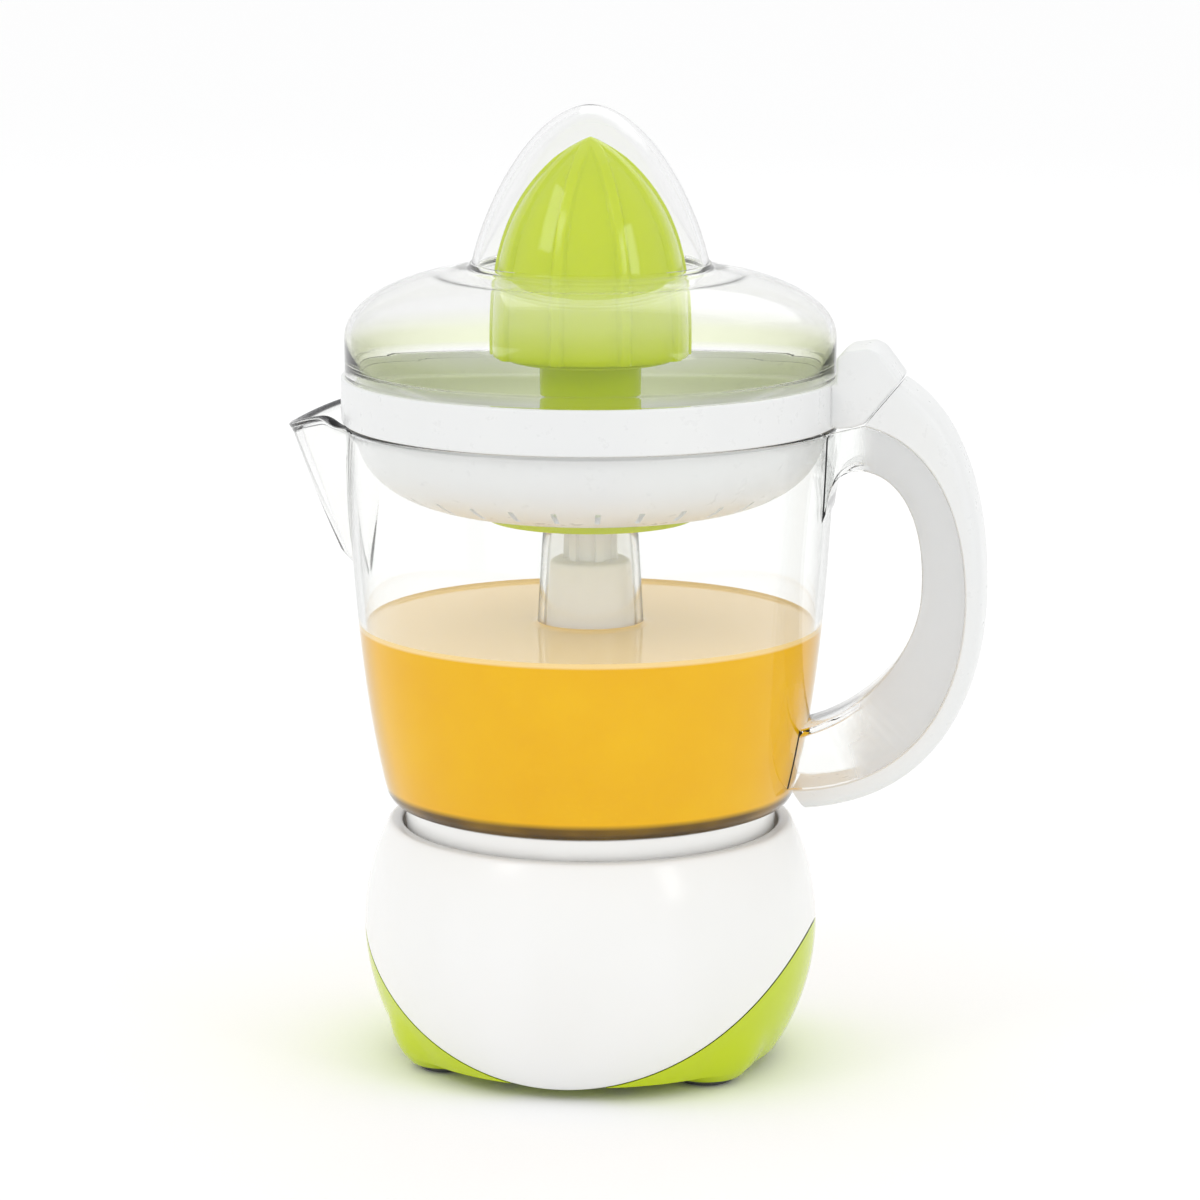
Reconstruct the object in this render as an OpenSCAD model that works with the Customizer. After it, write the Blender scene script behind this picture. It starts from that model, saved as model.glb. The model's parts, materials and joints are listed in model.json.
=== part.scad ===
// Citrus press juicer: a round motor base, a clear jug with a handle and a spout,
// a strainer with a pulp ring, two stacked reamer cones and a clear dust lid.
// Z is up, the spin axis is the Z axis and the feet rest on z = 0.
// The handle points along +X, the spout along -X and the cord gland along +Y.

/* [Base] */
// Radius of the ball that shapes the motor base
ball_r = 65.4; // [63:0.1:68]
// Height of the ball's centre above the table
ball_z = 40; // [38:0.5:42]
// Wall thickness of the base shells
shell_wall = 2.5; // [2:0.1:3]
// Height of the base rim around the jug foot
base_top = 70; // [69:0.5:71]
// Radius of the arch that parts the white housing from the green cover
arch_r = 75; // [73:0.5:78]
// Radius of each rounded foot
foot_r = 15.5; // [14:0.5:17]

/* [Jug] */
// Outer radius of the jug at its rim
jug_rim_r = 70; // [69:0.1:71]
// Height of the jug rim above the table
jug_rim_z = 186; // [180:1:190]
// Wall thickness of the jug
jug_wall = 2; // [1.6:0.1:2.4]
// Distance of the spout tip from the spin axis
spout_reach = 87.4; // [80:0.2:92]
// Width of the handle
handle_w = 22; // [18:0.5:26]

/* [Strainer and cones] */
// Outer radius of the strainer band
band_r = 71; // [70.5:0.1:72]
// Number of slits around the corner of the strainer bowl
slit_count = 30; // [20:1:36]
// Radius of the large cone at its foot
cone_r = 29; // [27:0.5:30]
// Number of ridges on each cone
ridge_count = 9; // [8:1:12]

/* [Lid] */
// Height of the lid's tip above the table
lid_top = 275.5; // [274:0.5:280]
// Wall thickness of the lid
lid_wall = 1.8; // [1.4:0.1:2.2]

/* [Drive] */
// Gear module
gear_module = 0.8; // [0.8:0.05:0.85]
// Backlash left between two meshed teeth
backlash = 0.2; // [0.15:0.01:0.3]
// Travel of the cone when fruit is pressed on it
press_travel = 2; // [1:0.1:2.2]

/* [Hidden] */

white_plastic = "white";
green_plastic = [0.72, 0.83, 0.18];
clear_plastic = [0.86, 0.91, 0.93, 0.45];
rubber_grey = [0.25, 0.25, 0.26];
steel = [0.70, 0.71, 0.73];
brass = [0.80, 0.66, 0.32];
copper = [0.76, 0.42, 0.22];
acetal = [0.93, 0.92, 0.87];

$fn = 96;
eps = 0.01;
part_gap = 0.3;

// ---- base ----
arch_bottom = 3.5;
arch_z = arch_bottom + arch_r;
arch_gap = 0.25;
tongue = 4;
tongue_wall = 1.8;
plate_z = 4.5;
plate_top = 7;
deck_z = 62;
deck_top = 64.5;
recess_r = 54.2;
neck_r = 9.5;
neck_top = 72;
neck_bore = 4.6;
seal_r = 6.6;
seal_z = 66.5;
foot_spread = 45;
foot_angle = 33;
foot_z = 13.5;
foot_wall = 2.2;
foot_cut = 2;
pad_r = 8;
pad_h = 2.9;
boss_x = 17;
boss_y = 42.2;
boss_r = 4;
boss_foot = 9.2;
screw_r = 1.6;
screw_head_r = 3.2;
gland_z = 20;
gland_r = 6;
gland_bore = 3.5;
gland_face = 64.4;
gland_back = 56.6;
ears = [[25, 25.5], [-62, 25.5], [208, 38]];
key_w = 6;

// ---- gears ----
pressure = 25;
addendum = 0.9;
dedendum = 1.15;
pinion_teeth = 12;
idler_teeth = 30;
step_teeth = 14;
output_teeth = 42;
motor_x = -20;
span_mi = gear_module * (pinion_teeth + idler_teeth) / 2;
span_io = gear_module * (step_teeth + output_teeth) / 2;
idler_x = (span_io * span_io - span_mi * span_mi + motor_x * motor_x) / (2 * motor_x);
idler_y = sqrt(span_io * span_io - idler_x * idler_x);
to_idler = atan2(idler_y, idler_x);
to_motor = atan2(-idler_y, motor_x - idler_x);
output_phase = 0;
step_phase = meshed(output_phase, to_idler, output_teeth, step_teeth);
pinion_phase = meshed(step_phase, to_motor, idler_teeth, pinion_teeth);

// ---- heights inside the base ----
can_z = 10;
can_top = 31;
can_r = 26;
can_wall = 1.2;
plate_th = 2;
tray_z = 33;
tray_top = 36;
low_gear_z = 37.5;
low_gear_h = 5.5;
step_z = 43;
step_h = 11;
cup_z = 41.6;
cup_top = 43.4;
cup_r = 7.4;
gear_z = 46.2;
gear_h = 6;
box_top = 58;
shaft_r = 4;
shaft_z = 43.5;
shaft_top = 96;
flat_x = 3.1;
flat_z = 78;
switch_x = 22;
switch_z = 27.4;
switch_top = 37.6;
plunger_x = 24;
plunger_z = 34.5;

// ---- leads from the terminal block, to the switch and to the coil ----
lead_r = 0.9;
lead_switch = [[4.5, 37.8, 12.6], [5, 30, 12.6], [14, 20, 13.5],
               [21, 9, 16], [22, 1, 20], [22, 0, 23.9]];
lead_coil = [[-4.5, 37.8, 12.6], [-4, 32, 13], [3, 28, 15],
             [9, 22, 18.5], [7.5, 16.6, 21], [1.4, 12.4, 21]];

// ---- spindle and tube ----
tube_top = 157;
tube_top_r = 13.5;
tube_foot_r = 18.4;
tube_wall = 1.8;
spindle_z = 68;
spindle_shoulder = 146;
spindle_tip = 218;
socket_z = neck_top + press_travel + 1;
spline_r = 7.8;
spline_core_r = 6.2;
spline_w = 2.4;
spline_count = 6;

// ---- jug ----
foot_ring_r = 53.4;
foot_ring_wall = 2.4;
foot_ring_z = deck_top + 0.2;
jug_floor = 76;
jug_corner = [[55.4, 76], [57.6, 77.2], [58.8, 79]];
jug_curve = [[58.8, 79], [64, 100], [68, 128], [jug_rim_r, jug_rim_z]];
spout_tip_r = 2.4;
spout_root_r = 22;
spout_root_x = 67;
spout_foot_z = 146;

// ---- handle outlines, in the plane of the handle ----
grip_out = [[89.8, 200], [107, 190], [114, 165], [113.6, 138]];
grip_out_low = [[113.6, 138], [113.2, 108], [100, 80], [64, 76.5]];
grip_in = [[79, 174.8], [91.5, 173.6], [97.8, 158], [96, 138]];
grip_in_low = [[96, 138], [94, 121], [78, 103.4], [60, 99.4]];
grip_in_top = [[69, 162], [69.7, 171.4], [73, 174.8], [79, 174.8]];
seam_out = [[79.6, 187.6], [101, 183], [108.6, 160], [108.6, 138]];
seam_out_low = [[108.6, 138], [108.6, 112], [96, 84], [60, 82.5]];
channel_wall = 2;

// ---- strainer, cones and lid ----
band_z = jug_rim_z + 0.2;
band_top = 199;
band_wall = 1.8;
bowl_floor = 162.2;
bowl_wall = 1.8;
bowl_top_r = 66.8;
bowl_curve = [[bowl_top_r, 184], [66.5, 172], [56, 164.4], [43, bowl_floor]];
hub_r = 11.5;
hub_bore = 9.5;
hub_top = 199;
skirt_r = 16.5;
skirt_in = 14.6;
skirt_z = 156.6;
floor_slots = 15;
floor_slot_in = 19;
floor_slot_out = 27.5;
ring_r = 30;
ring_z = 159.6;
ring_top = 161.6;
bush_flange_z = 201.4;
core_z = 202.8;
stem_r = 14.5;
stem_in = 12.4;
stem_z = 167.6;
core_cone_r = 24;
core_cone_z = 205;
core_tip = 254;
cone_z = 204.6;
cone_tip = 266.3;
cone_wall = 2;
ridge_h = 1.2;
ridge_w = 3.4;
lid_z = band_top + 0.1;
lid_skirt_r = 69.9;
lid_plug_r = 67.2;
lid_neck_z = 229;
dome_r = 34;
lid_shoulder = [[lid_skirt_r, 210], [lid_skirt_r, 217.5], [61, 225.5], [38.6, lid_neck_z]];

// ================= functions =================
function bez(p, t) = pow(1 - t, 3) * p[0] + 3 * t * pow(1 - t, 2) * p[1]
    + 3 * t * t * (1 - t) * p[2] + pow(t, 3) * p[3];
function curve(p, n) = [for (i = [0 : n]) bez(p, i / n)];
function flip(points) = [for (i = [len(points) - 1 : -1 : 0]) points[i]];
function cat(lists) = [for (l = lists) for (p = l) p];
function slope(p, i) = p[min(i + 1, len(p) - 1)] - p[max(i - 1, 0)];
// Points moved sideways by d, to the left of the direction of travel
function beside(p, d) = [for (i = [0 : len(p) - 1])
    let (s = slope(p, i)) p[i] + d * [-s[1], s[0]] / norm(s)];
function arc(c, r, from, to, n) = [for (i = [0 : n])
    let (a = from + (to - from) * i / n) c + r * [cos(a), sin(a)]];

// Radius of an ogive that is wide at its foot (s = 0) and pointed at its tip (s = 1)
function ogive(s) = pow(max(0, 1 - pow(s, 3)), 0.84);
function ogive_points(r, z0, z1, n) = [for (i = [0 : n])
    let (s = sin(90 * i / n)) [r * ogive(s), z0 + (z1 - z0) * s]];
// Radius of the lid's dome, blunt at its tip
function dome(s) = pow(max(0, 1 - pow(s, 1.3)), 0.53);
function dome_points(r, z0, z1, n) = [for (i = [0 : n])
    let (s = sin(90 * i / n)) [r * dome(s), z0 + (z1 - z0) * s]];

// Outer radius of the jug's centre tube at height z
function tube_r(z) = tube_foot_r
    + (tube_top_r - tube_foot_r) * (z - jug_floor) / (tube_top - jug_floor);

// Involute spur gear outline
function inv_deg(a) = tan(a) * 180 / PI - a;
function flank_angle(r, rb, n, m) = 90 / n - backlash / 4 / (n * m / 2) * 180 / PI
    + inv_deg(pressure) - (r > rb ? inv_deg(acos(rb / r)) : 0);
function tooth(n, m) = let (
    rp = n * m / 2,
    rb = rp * cos(pressure),
    rr = rp - dedendum * m,
    ra = rp + addendum * m,
    r0 = max(rb, rr),
    radii = [rr, r0 + 0.02, (r0 + rp) / 2, rp, (rp + ra) / 2, ra])
    cat([[for (r = radii) [r, -flank_angle(r, rb, n, m)]],
         [for (r = flip(radii)) [r, flank_angle(r, rb, n, m)]]]);
function gear_outline(n, m) = [for (i = [0 : n - 1]) for (q = tooth(n, m))
    q[0] * [cos(q[1] + 360 * i / n), sin(q[1] + 360 * i / n)]];
// Phase of the second gear so that its gap faces the first gear's tooth
function meshed(phase, dir, n1, n2) =
    dir + 180 + 180 / n2 - (phase - dir) * n1 / n2;

// ================= shared shapes =================
module ring(ro, ri, z0, z1) {
    translate([0, 0, z0]) difference() {
        cylinder(r = ro, h = z1 - z0);
        translate([0, 0, -1]) cylinder(r = ri, h = z1 - z0 + 2);
    }
}
module disc(r, z0, z1) {
    translate([0, 0, z0]) cylinder(r = r, h = z1 - z0);
}
module slab(z0, z1) {
    translate([-100, -100, z0]) cube([200, 200, z1 - z0]);
}
module ball(r) {
    translate([0, 0, ball_z]) sphere(r = r, $fn = 144);
}
module arch(r) {
    translate([0, 0, arch_z]) rotate([90, 0, 0])
        cylinder(r = r, h = 160, center = true, $fn = 144);
}
module feet_places() {
    for (sx = [0, 1]) for (sy = [0, 1])
        mirror([sx, 0, 0]) mirror([0, sy, 0])
            translate([foot_spread * cos(foot_angle), foot_spread * sin(foot_angle), 0])
                children();
}
module boss_places() {
    for (sx = [-1, 1]) for (sy = [-1, 1])
        translate([sx * boss_x, sy * boss_y, 0]) children();
}
module box_ear_places() {
    for (ear = ears) rotate(ear[0]) translate([ear[1], 0, 0]) children();
}
module motor_screw_places() {
    for (a = [150, 205, 282])
        translate([motor_x + 22 * cos(a), 22 * sin(a), 0]) children();
}
module at_motor() {
    translate([motor_x, 0, 0]) children();
}
module at_idler() {
    translate([idler_x, idler_y, 0]) children();
}
module upright(w) {
    rotate([90, 0, 0]) linear_extrude(height = w, center = true) children();
}

// ================= base casings =================
module base_housing() {
    color(white_plastic) difference() {
        union() {
            intersection() {
                difference() {
                    ball(ball_r);
                    ball(ball_r - shell_wall);
                }
                arch(arch_r);
                slab(arch_bottom - 1, base_top);
            }
            intersection() {
                ball(ball_r - 0.4);
                union() {
                    disc(62, deck_z, deck_top);
                    ring(62, recess_r, deck_z, base_top);
                }
            }
            disc(neck_r, deck_z, neck_top);
            translate([0, gland_back, gland_z]) rotate([-90, 0, 0])
                cylinder(r = gland_r + 3.5, h = gland_face - gland_back);
            boss_places() disc(boss_r, boss_foot, deck_z + eps);
            box_ear_places() disc(4.4, box_top + 0.2, deck_z + eps);
            for (sy = [-1, 1])
                translate([-key_w / 2, sy * (recess_r - 2) - 2.2, deck_top - eps])
                    cube([key_w, 4.4, 3.5]);
        }
        translate([0, 0, deck_z - 4]) cylinder(r = neck_bore, h = 20);
        disc(seal_r, seal_z, neck_top + 1);
        boss_places() disc(screw_r + 0.05, boss_foot - 1, 24);
        box_ear_places() disc(screw_r + 0.05, box_top - 1, deck_z + 1.6);
        translate([0, 40, gland_z]) rotate([-90, 0, 0]) cylinder(r = gland_r, h = 40);
    }
}

module base_cover() {
    inner = ball_r - shell_wall - part_gap;
    color(green_plastic) difference() {
        union() {
            difference() {
                intersection() {
                    ball(ball_r);
                    slab(plate_z, 60);
                }
                arch(arch_r + arch_gap);
            }
            difference() {
                intersection() {
                    ball(inner);
                    slab(plate_z, 60);
                }
                arch(arch_r - tongue);
            }
            intersection() {
                ball(inner);
                slab(plate_z, plate_top);
            }
            difference() {
                feet_places() translate([0, 0, foot_z]) sphere(r = foot_r);
                arch(arch_r + arch_gap);
            }
            intersection() {
                feet_places() translate([0, 0, foot_z]) sphere(r = foot_r);
                ball(inner);
            }
        }
        slab(-10, foot_cut);
        intersection() {
            ball(inner - tongue_wall);
            slab(plate_top, 60);
        }
        difference() {
            intersection() {
                ball(ball_r - shell_wall);
                slab(plate_top, 60);
            }
            arch(arch_r + tongue);
        }
        intersection() {
            feet_places() translate([0, 0, foot_z]) sphere(r = foot_r - foot_wall);
            slab(foot_cut + 3, 60);
        }
        feet_places() disc(pad_r + 0.1, 0, foot_cut + 1);
        boss_places() disc(screw_r + 0.4, 0, 30);
        boss_places() disc(screw_head_r + 0.4, 0, plate_z + 0.9);
        for (i = [-3 : 3])
            translate([i * 6 - 1.2, -14, 0]) cube([2.4, 28, plate_top + 1]);
    }
}

module foot_pads() {
    color(rubber_grey) feet_places() {
        disc(pad_r, 0.6, pad_h);
        disc(pad_r - 1, 0, pad_h);
    }
}

module cover_screws() {
    color(steel) boss_places() difference() {
        union() {
            disc(screw_head_r, plate_z - 1.2, plate_z + 0.8);
            disc(screw_r, plate_z, 22);
        }
        translate([-2, -0.4, plate_z - 2]) cube([4, 0.8, 1.6]);
        translate([-0.4, -2, plate_z - 2]) cube([0.8, 4, 1.6]);
    }
}

module cord_gland() {
    color(rubber_grey) translate([0, 0, gland_z]) rotate([-90, 0, 0]) difference() {
        union() {
            disc(gland_r - 0.1, gland_back - 1, gland_face + 1);
            disc(gland_r + 1, gland_back - 2, gland_back - 0.05);
            disc(gland_r + 1.6, gland_face + 0.05, gland_face + 1.8);
        }
        disc(gland_bore, gland_back - 3, gland_face + 3);
    }
}

module terminal_block() {
    color(acetal) translate([-9, 38, plate_top + 0.1]) difference() {
        cube([18, 9, 9]);
        for (x = [4.5, 9, 13.5]) {
            translate([x, -1, 5.5]) rotate([-90, 0, 0]) cylinder(r = 1.3, h = 12);
            translate([x, 4.5, 6]) cylinder(r = 1.2, h = 5);
        }
    }
}

// Smooth curve through the points of a route, u from 0 to 1
function spline_at(p, u) = let (
    n = len(p) - 1,
    i = min(floor(u * n), n - 1),
    t = u * n - i,
    a = p[max(i - 1, 0)],
    b = p[i],
    c = p[i + 1],
    d = p[min(i + 2, n)])
    0.5 * ((2 * b) + (c - a) * t + (2 * a - 5 * b + 4 * c - d) * t * t
        + (3 * b - a - 3 * c + d) * t * t * t);
function unit(v) = v / norm(v);
module sweep(points, r, sides) {
    n = len(points);
    rings = [for (i = [0 : n - 1]) let (
        t = unit(points[min(i + 1, n - 1)] - points[max(i - 1, 0)]),
        up = abs(t[2]) < 0.9 ? [0, 0, 1] : [1, 0, 0],
        u = unit(cross(t, up)),
        v = cross(t, u))
        for (k = [0 : sides - 1])
            points[i] + r * (cos(360 * k / sides) * u + sin(360 * k / sides) * v)];
    walls = [for (i = [0 : n - 2]) for (k = [0 : sides - 1]) let (
        a = i * sides + k,
        b = i * sides + (k + 1) % sides)
        [a, b, b + sides, a + sides]];
    ends = [[for (k = [sides - 1 : -1 : 0]) k],
            [for (k = [0 : sides - 1]) (n - 1) * sides + k]];
    polyhedron(points = rings, faces = concat(walls, ends), convexity = 6);
}
module lead_wires() {
    color("saddlebrown") for (route = [lead_switch, lead_coil])
        sweep([for (i = [0 : 16]) spline_at(route, i / 16)], lead_r, 8);
}

// ================= gearbox =================
module box_outline(grow, z0, z1) {
    disc(20.5 + grow, z0, z1);
    at_idler() disc(16 + grow, z0, z1);
    at_motor() disc(10 + grow, z0, z1);
}
module gearbox_tray() {
    color(acetal) difference() {
        union() {
            box_outline(0, tray_z, tray_top);
            at_motor() disc(can_r + 1, tray_z, tray_top);
            translate([10, -8, tray_z]) cube([25, 16, tray_top - tray_z]);
        }
        at_motor() disc(4.05, tray_z - 1, tray_top + 1);
        at_idler() disc(1.98, tray_z - 1, tray_top + 1);
        motor_screw_places() disc(screw_r + 0.3, tray_z - 1, tray_top + 1);
        translate([11.8, -3.4, tray_z - 1]) cube([20.6, 6.8, 5]);
    }
}
module gearbox_cover() {
    color(acetal) difference() {
        union() {
            box_outline(0, tray_top + 0.05, box_top);
            for (a = [25, -62]) rotate(a)
                translate([12, -5, box_top - 3]) cube([13.5, 10, 3]);
            rotate(208) translate([14, -5, box_top - 3]) cube([24, 10, 3]);
            box_ear_places() disc(5, box_top - 3, box_top);
            disc(8, box_top - 1, box_top + 3);
        }
        box_outline(-1.8, tray_top - 1, box_top - 2.5);
        disc(5.5, box_top - 5, box_top + 5);
        at_idler() disc(1.98, box_top - 5, box_top + 1);
        box_ear_places() disc(screw_r + 0.3, box_top - 5, box_top + 5);
        translate([10, -3.4, tray_top - 1]) cube([16, 6.8, 9.4]);
    }
}
module gearbox_screws() {
    color(steel) box_ear_places() difference() {
        union() {
            disc(screw_head_r, box_top - 5, box_top - 3);
            disc(screw_r, box_top - 4, deck_z + 1.2);
        }
        translate([-2, -0.4, box_top - 6]) cube([4, 0.8, 1.8]);
        translate([-0.4, -2, box_top - 6]) cube([0.8, 4, 1.8]);
    }
}

module spur(n, z0, h, phase) {
    translate([0, 0, z0]) rotate(phase) linear_extrude(height = h)
        polygon(gear_outline(n, gear_module));
}
module idler_pin() {
    color(steel) at_idler() disc(1.95, tray_z, box_top - 0.2);
}
module idler_gear() {
    color(acetal) at_idler() difference() {
        union() {
            spur(idler_teeth, low_gear_z, low_gear_h, step_phase);
            spur(step_teeth, step_z - eps, step_h, step_phase);
            disc(3.4, tray_top + 0.3, box_top - 2.8);
        }
        disc(2, tray_z, box_top + 1);
        difference() {
            disc(9.6, low_gear_z + 4, low_gear_z + 6);
            disc(6.9, low_gear_z + 3, low_gear_z + 7);
        }
    }
}
module drive_gear() {
    color(acetal) difference() {
        union() {
            spur(output_teeth, gear_z, gear_h, output_phase);
            disc(6.5, gear_z - 0.4, gear_z + gear_h + 1.4);
        }
        disc(shaft_r, gear_z - 2, gear_z + gear_h + 3);
        for (i = [0 : 5]) rotate(60 * i) translate([10.8, 0, gear_z - 1])
            cylinder(r = 2.6, h = gear_h + 2);
    }
}
module drive_shaft() {
    color(steel) difference() {
        union() {
            disc(shaft_r, shaft_z, shaft_top - 1);
            translate([0, 0, shaft_top - 1]) cylinder(r1 = shaft_r, r2 = shaft_r - 0.8, h = 1);
        }
        translate([flat_x, -5, flat_z]) cube([4, 10, shaft_top]);
    }
}
module shaft_bush() {
    color(brass) ring(5.5, shaft_r + 0.04, box_top - 4.4, box_top + 2.6);
}
module shaft_seal() {
    color(rubber_grey) {
        ring(seal_r - 0.05, 5, seal_z + 0.05, neck_top - 0.4);
        ring(5 + eps, shaft_r + 0.1, seal_z + 3.6, seal_z + 4.6);
    }
}
module press_spring() {
    turns = 3;
    rings = 42;
    coil_r = 5.4;
    wire_r = 0.55;
    z0 = tray_top + wire_r + 0.05;
    z1 = cup_z - wire_r - 0.05;
    color(steel) sweep([for (i = [0 : rings]) let (u = i / rings)
        [coil_r * cos(360 * turns * u), coil_r * sin(360 * turns * u), z0 + (z1 - z0) * u]],
        wire_r, 8);
}
module thrust_cup() {
    color(acetal) difference() {
        union() {
            disc(cup_r, cup_z, cup_top);
            disc(6.2, cup_z, cup_top + 1.8);
            disc(3.6, cup_z - 2.1, cup_z + eps);
            translate([5, -2.2, cup_z + 0.2]) cube([21.5, 4.4, cup_top - cup_z - 0.2]);
        }
        disc(shaft_r + 0.05, cup_top, cup_top + 5);
    }
}

// ================= switch =================
module switch_body() {
    color([0.15, 0.15, 0.16]) difference() {
        union() {
            translate([switch_x - 10, -3.2, switch_z]) cube([20, 6.4, switch_top - switch_z]);
            translate([switch_x - 12, -3.2, tray_z - 2.6]) cube([24, 6.4, 2.5]);
            for (x = [-7, 0, 7])
                translate([switch_x + x - 0.4, -1.5, 24]) cube([0.8, 3, 4]);
        }
        translate([plunger_x - 1.6, -1.35, 32]) cube([3.2, 2.7, 10]);
    }
}
module switch_plunger() {
    color("firebrick") translate([plunger_x - 1.5, -1.25, plunger_z])
        cube([3, 2.5, cup_z + 0.1 - plunger_z]);
}

// ================= motor =================
module pole_teeth(z0, z1, phase) {
    for (i = [0 : 11]) rotate(30 * i + phase) intersection() {
        ring(14.4, 13.2, z0, z1);
        translate([10, -1.5, z0]) cube([8, 3, z1 - z0]);
    }
}
module motor_can() {
    color(steel) at_motor() difference() {
        union() {
            ring(can_r, can_r - can_wall, can_z, can_top);
            ring(can_r - 0.1, 14.3, can_z, can_z + can_wall);
            disc(14.5, can_z, can_z + can_wall);
            pole_teeth(can_z + eps, 26, 0);
        }
        disc(1.8, can_z - 1, can_z + 3);
        translate([0, 0, 18.5]) rotate(30) translate([20, -3, 0]) cube([10, 6, 5]);
    }
}
module motor_plate() {
    color(steel) at_motor() difference() {
        union() {
            disc(can_r, can_top + 0.02, can_top + plate_th - 0.02);
            pole_teeth(15, can_top + 0.5, 15);
        }
        disc(4.05, can_top - 1, can_top + 4);
        translate([-motor_x, 0, 0]) motor_screw_places() disc(screw_r, can_top - 1, can_top + 4);
    }
}
module motor_screws() {
    color(steel) motor_screw_places() difference() {
        union() {
            disc(screw_head_r, tray_top + 0.02, tray_top + 2);
            disc(screw_r, can_top + 0.1, tray_top + 1);
        }
        translate([-2, -0.4, tray_top + 1]) cube([4, 0.8, 2]);
    }
}
module coil_bobbin() {
    color(acetal) at_motor() {
        ring(24.3, 15, 12, 13.2);
        ring(24.3, 15, 28.8, 30);
        ring(16.2, 15, 12, 30);
    }
}
module coil_winding() {
    color(copper) at_motor() ring(23.4, 16.25, 13.25, 28.75);
}
module rotor_bushes() {
    color(brass) at_motor() {
        ring(4, 1.55, can_z + can_wall, can_z + can_wall + 2.6);
        ring(4, 1.55, can_top + 0.1, tray_top + 0.8);
    }
}
module rotor_magnet() {
    color([0.2, 0.2, 0.22]) at_motor() ring(12.5, 1.5, 15, 29.5);
}
module rotor_shaft() {
    color(steel) at_motor() disc(1.5, can_z + can_wall + 0.3, low_gear_z + 7);
}
module rotor_pinion() {
    color(brass) at_motor() difference() {
        spur(pinion_teeth, low_gear_z, low_gear_h, pinion_phase);
        disc(1.5, low_gear_z - 1, low_gear_z + 9);
    }
}

// ================= spindle =================
function spindle_r(z) = tube_r(z) - tube_wall - 0.8;
module spindle_cone(inset, z0, z1) {
    translate([0, 0, z0])
        cylinder(r1 = spindle_r(z0) - inset, r2 = spindle_r(z1) - inset, h = z1 - z0);
}
module spindle() {
    color(white_plastic) difference() {
        union() {
            difference() {
                spindle_cone(0, spindle_z, spindle_shoulder);
                spindle_cone(2.2, spindle_z - 1, spindle_shoulder - 6);
            }
            disc(6.8, socket_z, spindle_shoulder - 1);
            intersection() {
                spindle_cone(1.1, socket_z, spindle_shoulder - 3);
                for (a = [0 : 90 : 270]) rotate(a)
                    translate([4, -0.9, socket_z]) cube([16, 1.8, 70]);
            }
            disc(spline_core_r, spindle_shoulder - 1, spindle_tip - 1.5);
            translate([0, 0, spindle_tip - 1.5])
                cylinder(r1 = spline_core_r, r2 = spline_core_r - 1.2, h = 1.5);
            intersection() {
                disc(spline_r, spindle_shoulder - 1, spindle_tip - 3);
                for (i = [0 : spline_count - 1]) rotate(60 * i)
                    translate([4, -spline_w / 2, spindle_shoulder - 1]) cube([5, spline_w, 100]);
            }
        }
        difference() {
            disc(shaft_r + 0.05, spindle_z - 1, shaft_top + 0.5);
            translate([flat_x + 0.05, -5, flat_z + 0.3]) cube([4, 10, 60]);
        }
    }
}

// ================= jug =================
function jug_outer() = cat([jug_corner, curve(jug_curve, 12)]);
function jug_inner() = beside(curve(jug_curve, 12), jug_wall);
module jug_shell() {
    rotate_extrude($fn = 144) {
        polygon(cat([
            [[15, jug_floor], [foot_ring_r - 1, jug_floor]],
            jug_outer(),
            flip(jug_inner()),
            [[54.6, jug_floor + 2], [15, jug_floor + 2]]]));
    }
}
module spout_body(inset) {
    hull() {
        translate([spout_tip_r - spout_reach, 0, jug_rim_z - 4.5 - eps])
            cylinder(r = spout_tip_r - inset + 0.4, h = 1, $fn = 32);
        translate([-spout_root_x, 0, jug_rim_z - 3])
            scale([0.5, 1, 1]) cylinder(r = spout_root_r - inset, h = 3 + eps, $fn = 32);
        translate([-64, 0, spout_foot_z + 1.5 * inset]) sphere(r = 4.6 - inset, $fn = 24);
    }
}
module jug_bore() {
    rotate_extrude($fn = 144) polygon(cat([
        [[0, jug_floor + 2], [54.6, jug_floor + 2]],
        jug_inner(),
        [[0, jug_rim_z]]]));
    disc(jug_rim_r - jug_wall - 0.01, jug_rim_z - 1, jug_rim_z + 30);
}
function grip_line(top, low, n) = cat([curve(top, n), [for (i = [1 : n]) bez(low, i / n)]]);
function seam_line() = grip_line(seam_out, seam_out_low, 9);
function grip_inside() = cat([curve(grip_in_top, 4), [for (i = [1 : 9]) bez(grip_in, i / 9)],
    [for (i = [1 : 9]) bez(grip_in_low, i / 9)]]);
module grip_channel() {
    difference() {
        upright(handle_w) polygon(cat([
            [[68, jug_rim_z - 0.8], [72, jug_rim_z - 0.4], [76, jug_rim_z + 0.6]],
            seam_line(),
            flip(grip_inside())]));
        upright(handle_w - 2 * channel_wall) polygon(cat([
            [[73.5, jug_rim_z + 8]],
            [[79, jug_rim_z + 8]],
            beside(seam_line(), 6),
            [[66.5, 77.5], [66, 98.5]],
            flip(beside(cat([[for (i = [1 : 9]) bez(grip_in, i / 9)],
                [for (i = [1 : 7]) bez(grip_in_low, i / 9)]]), channel_wall)),
            [[73.5, 180]]]));
    }
}
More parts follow.
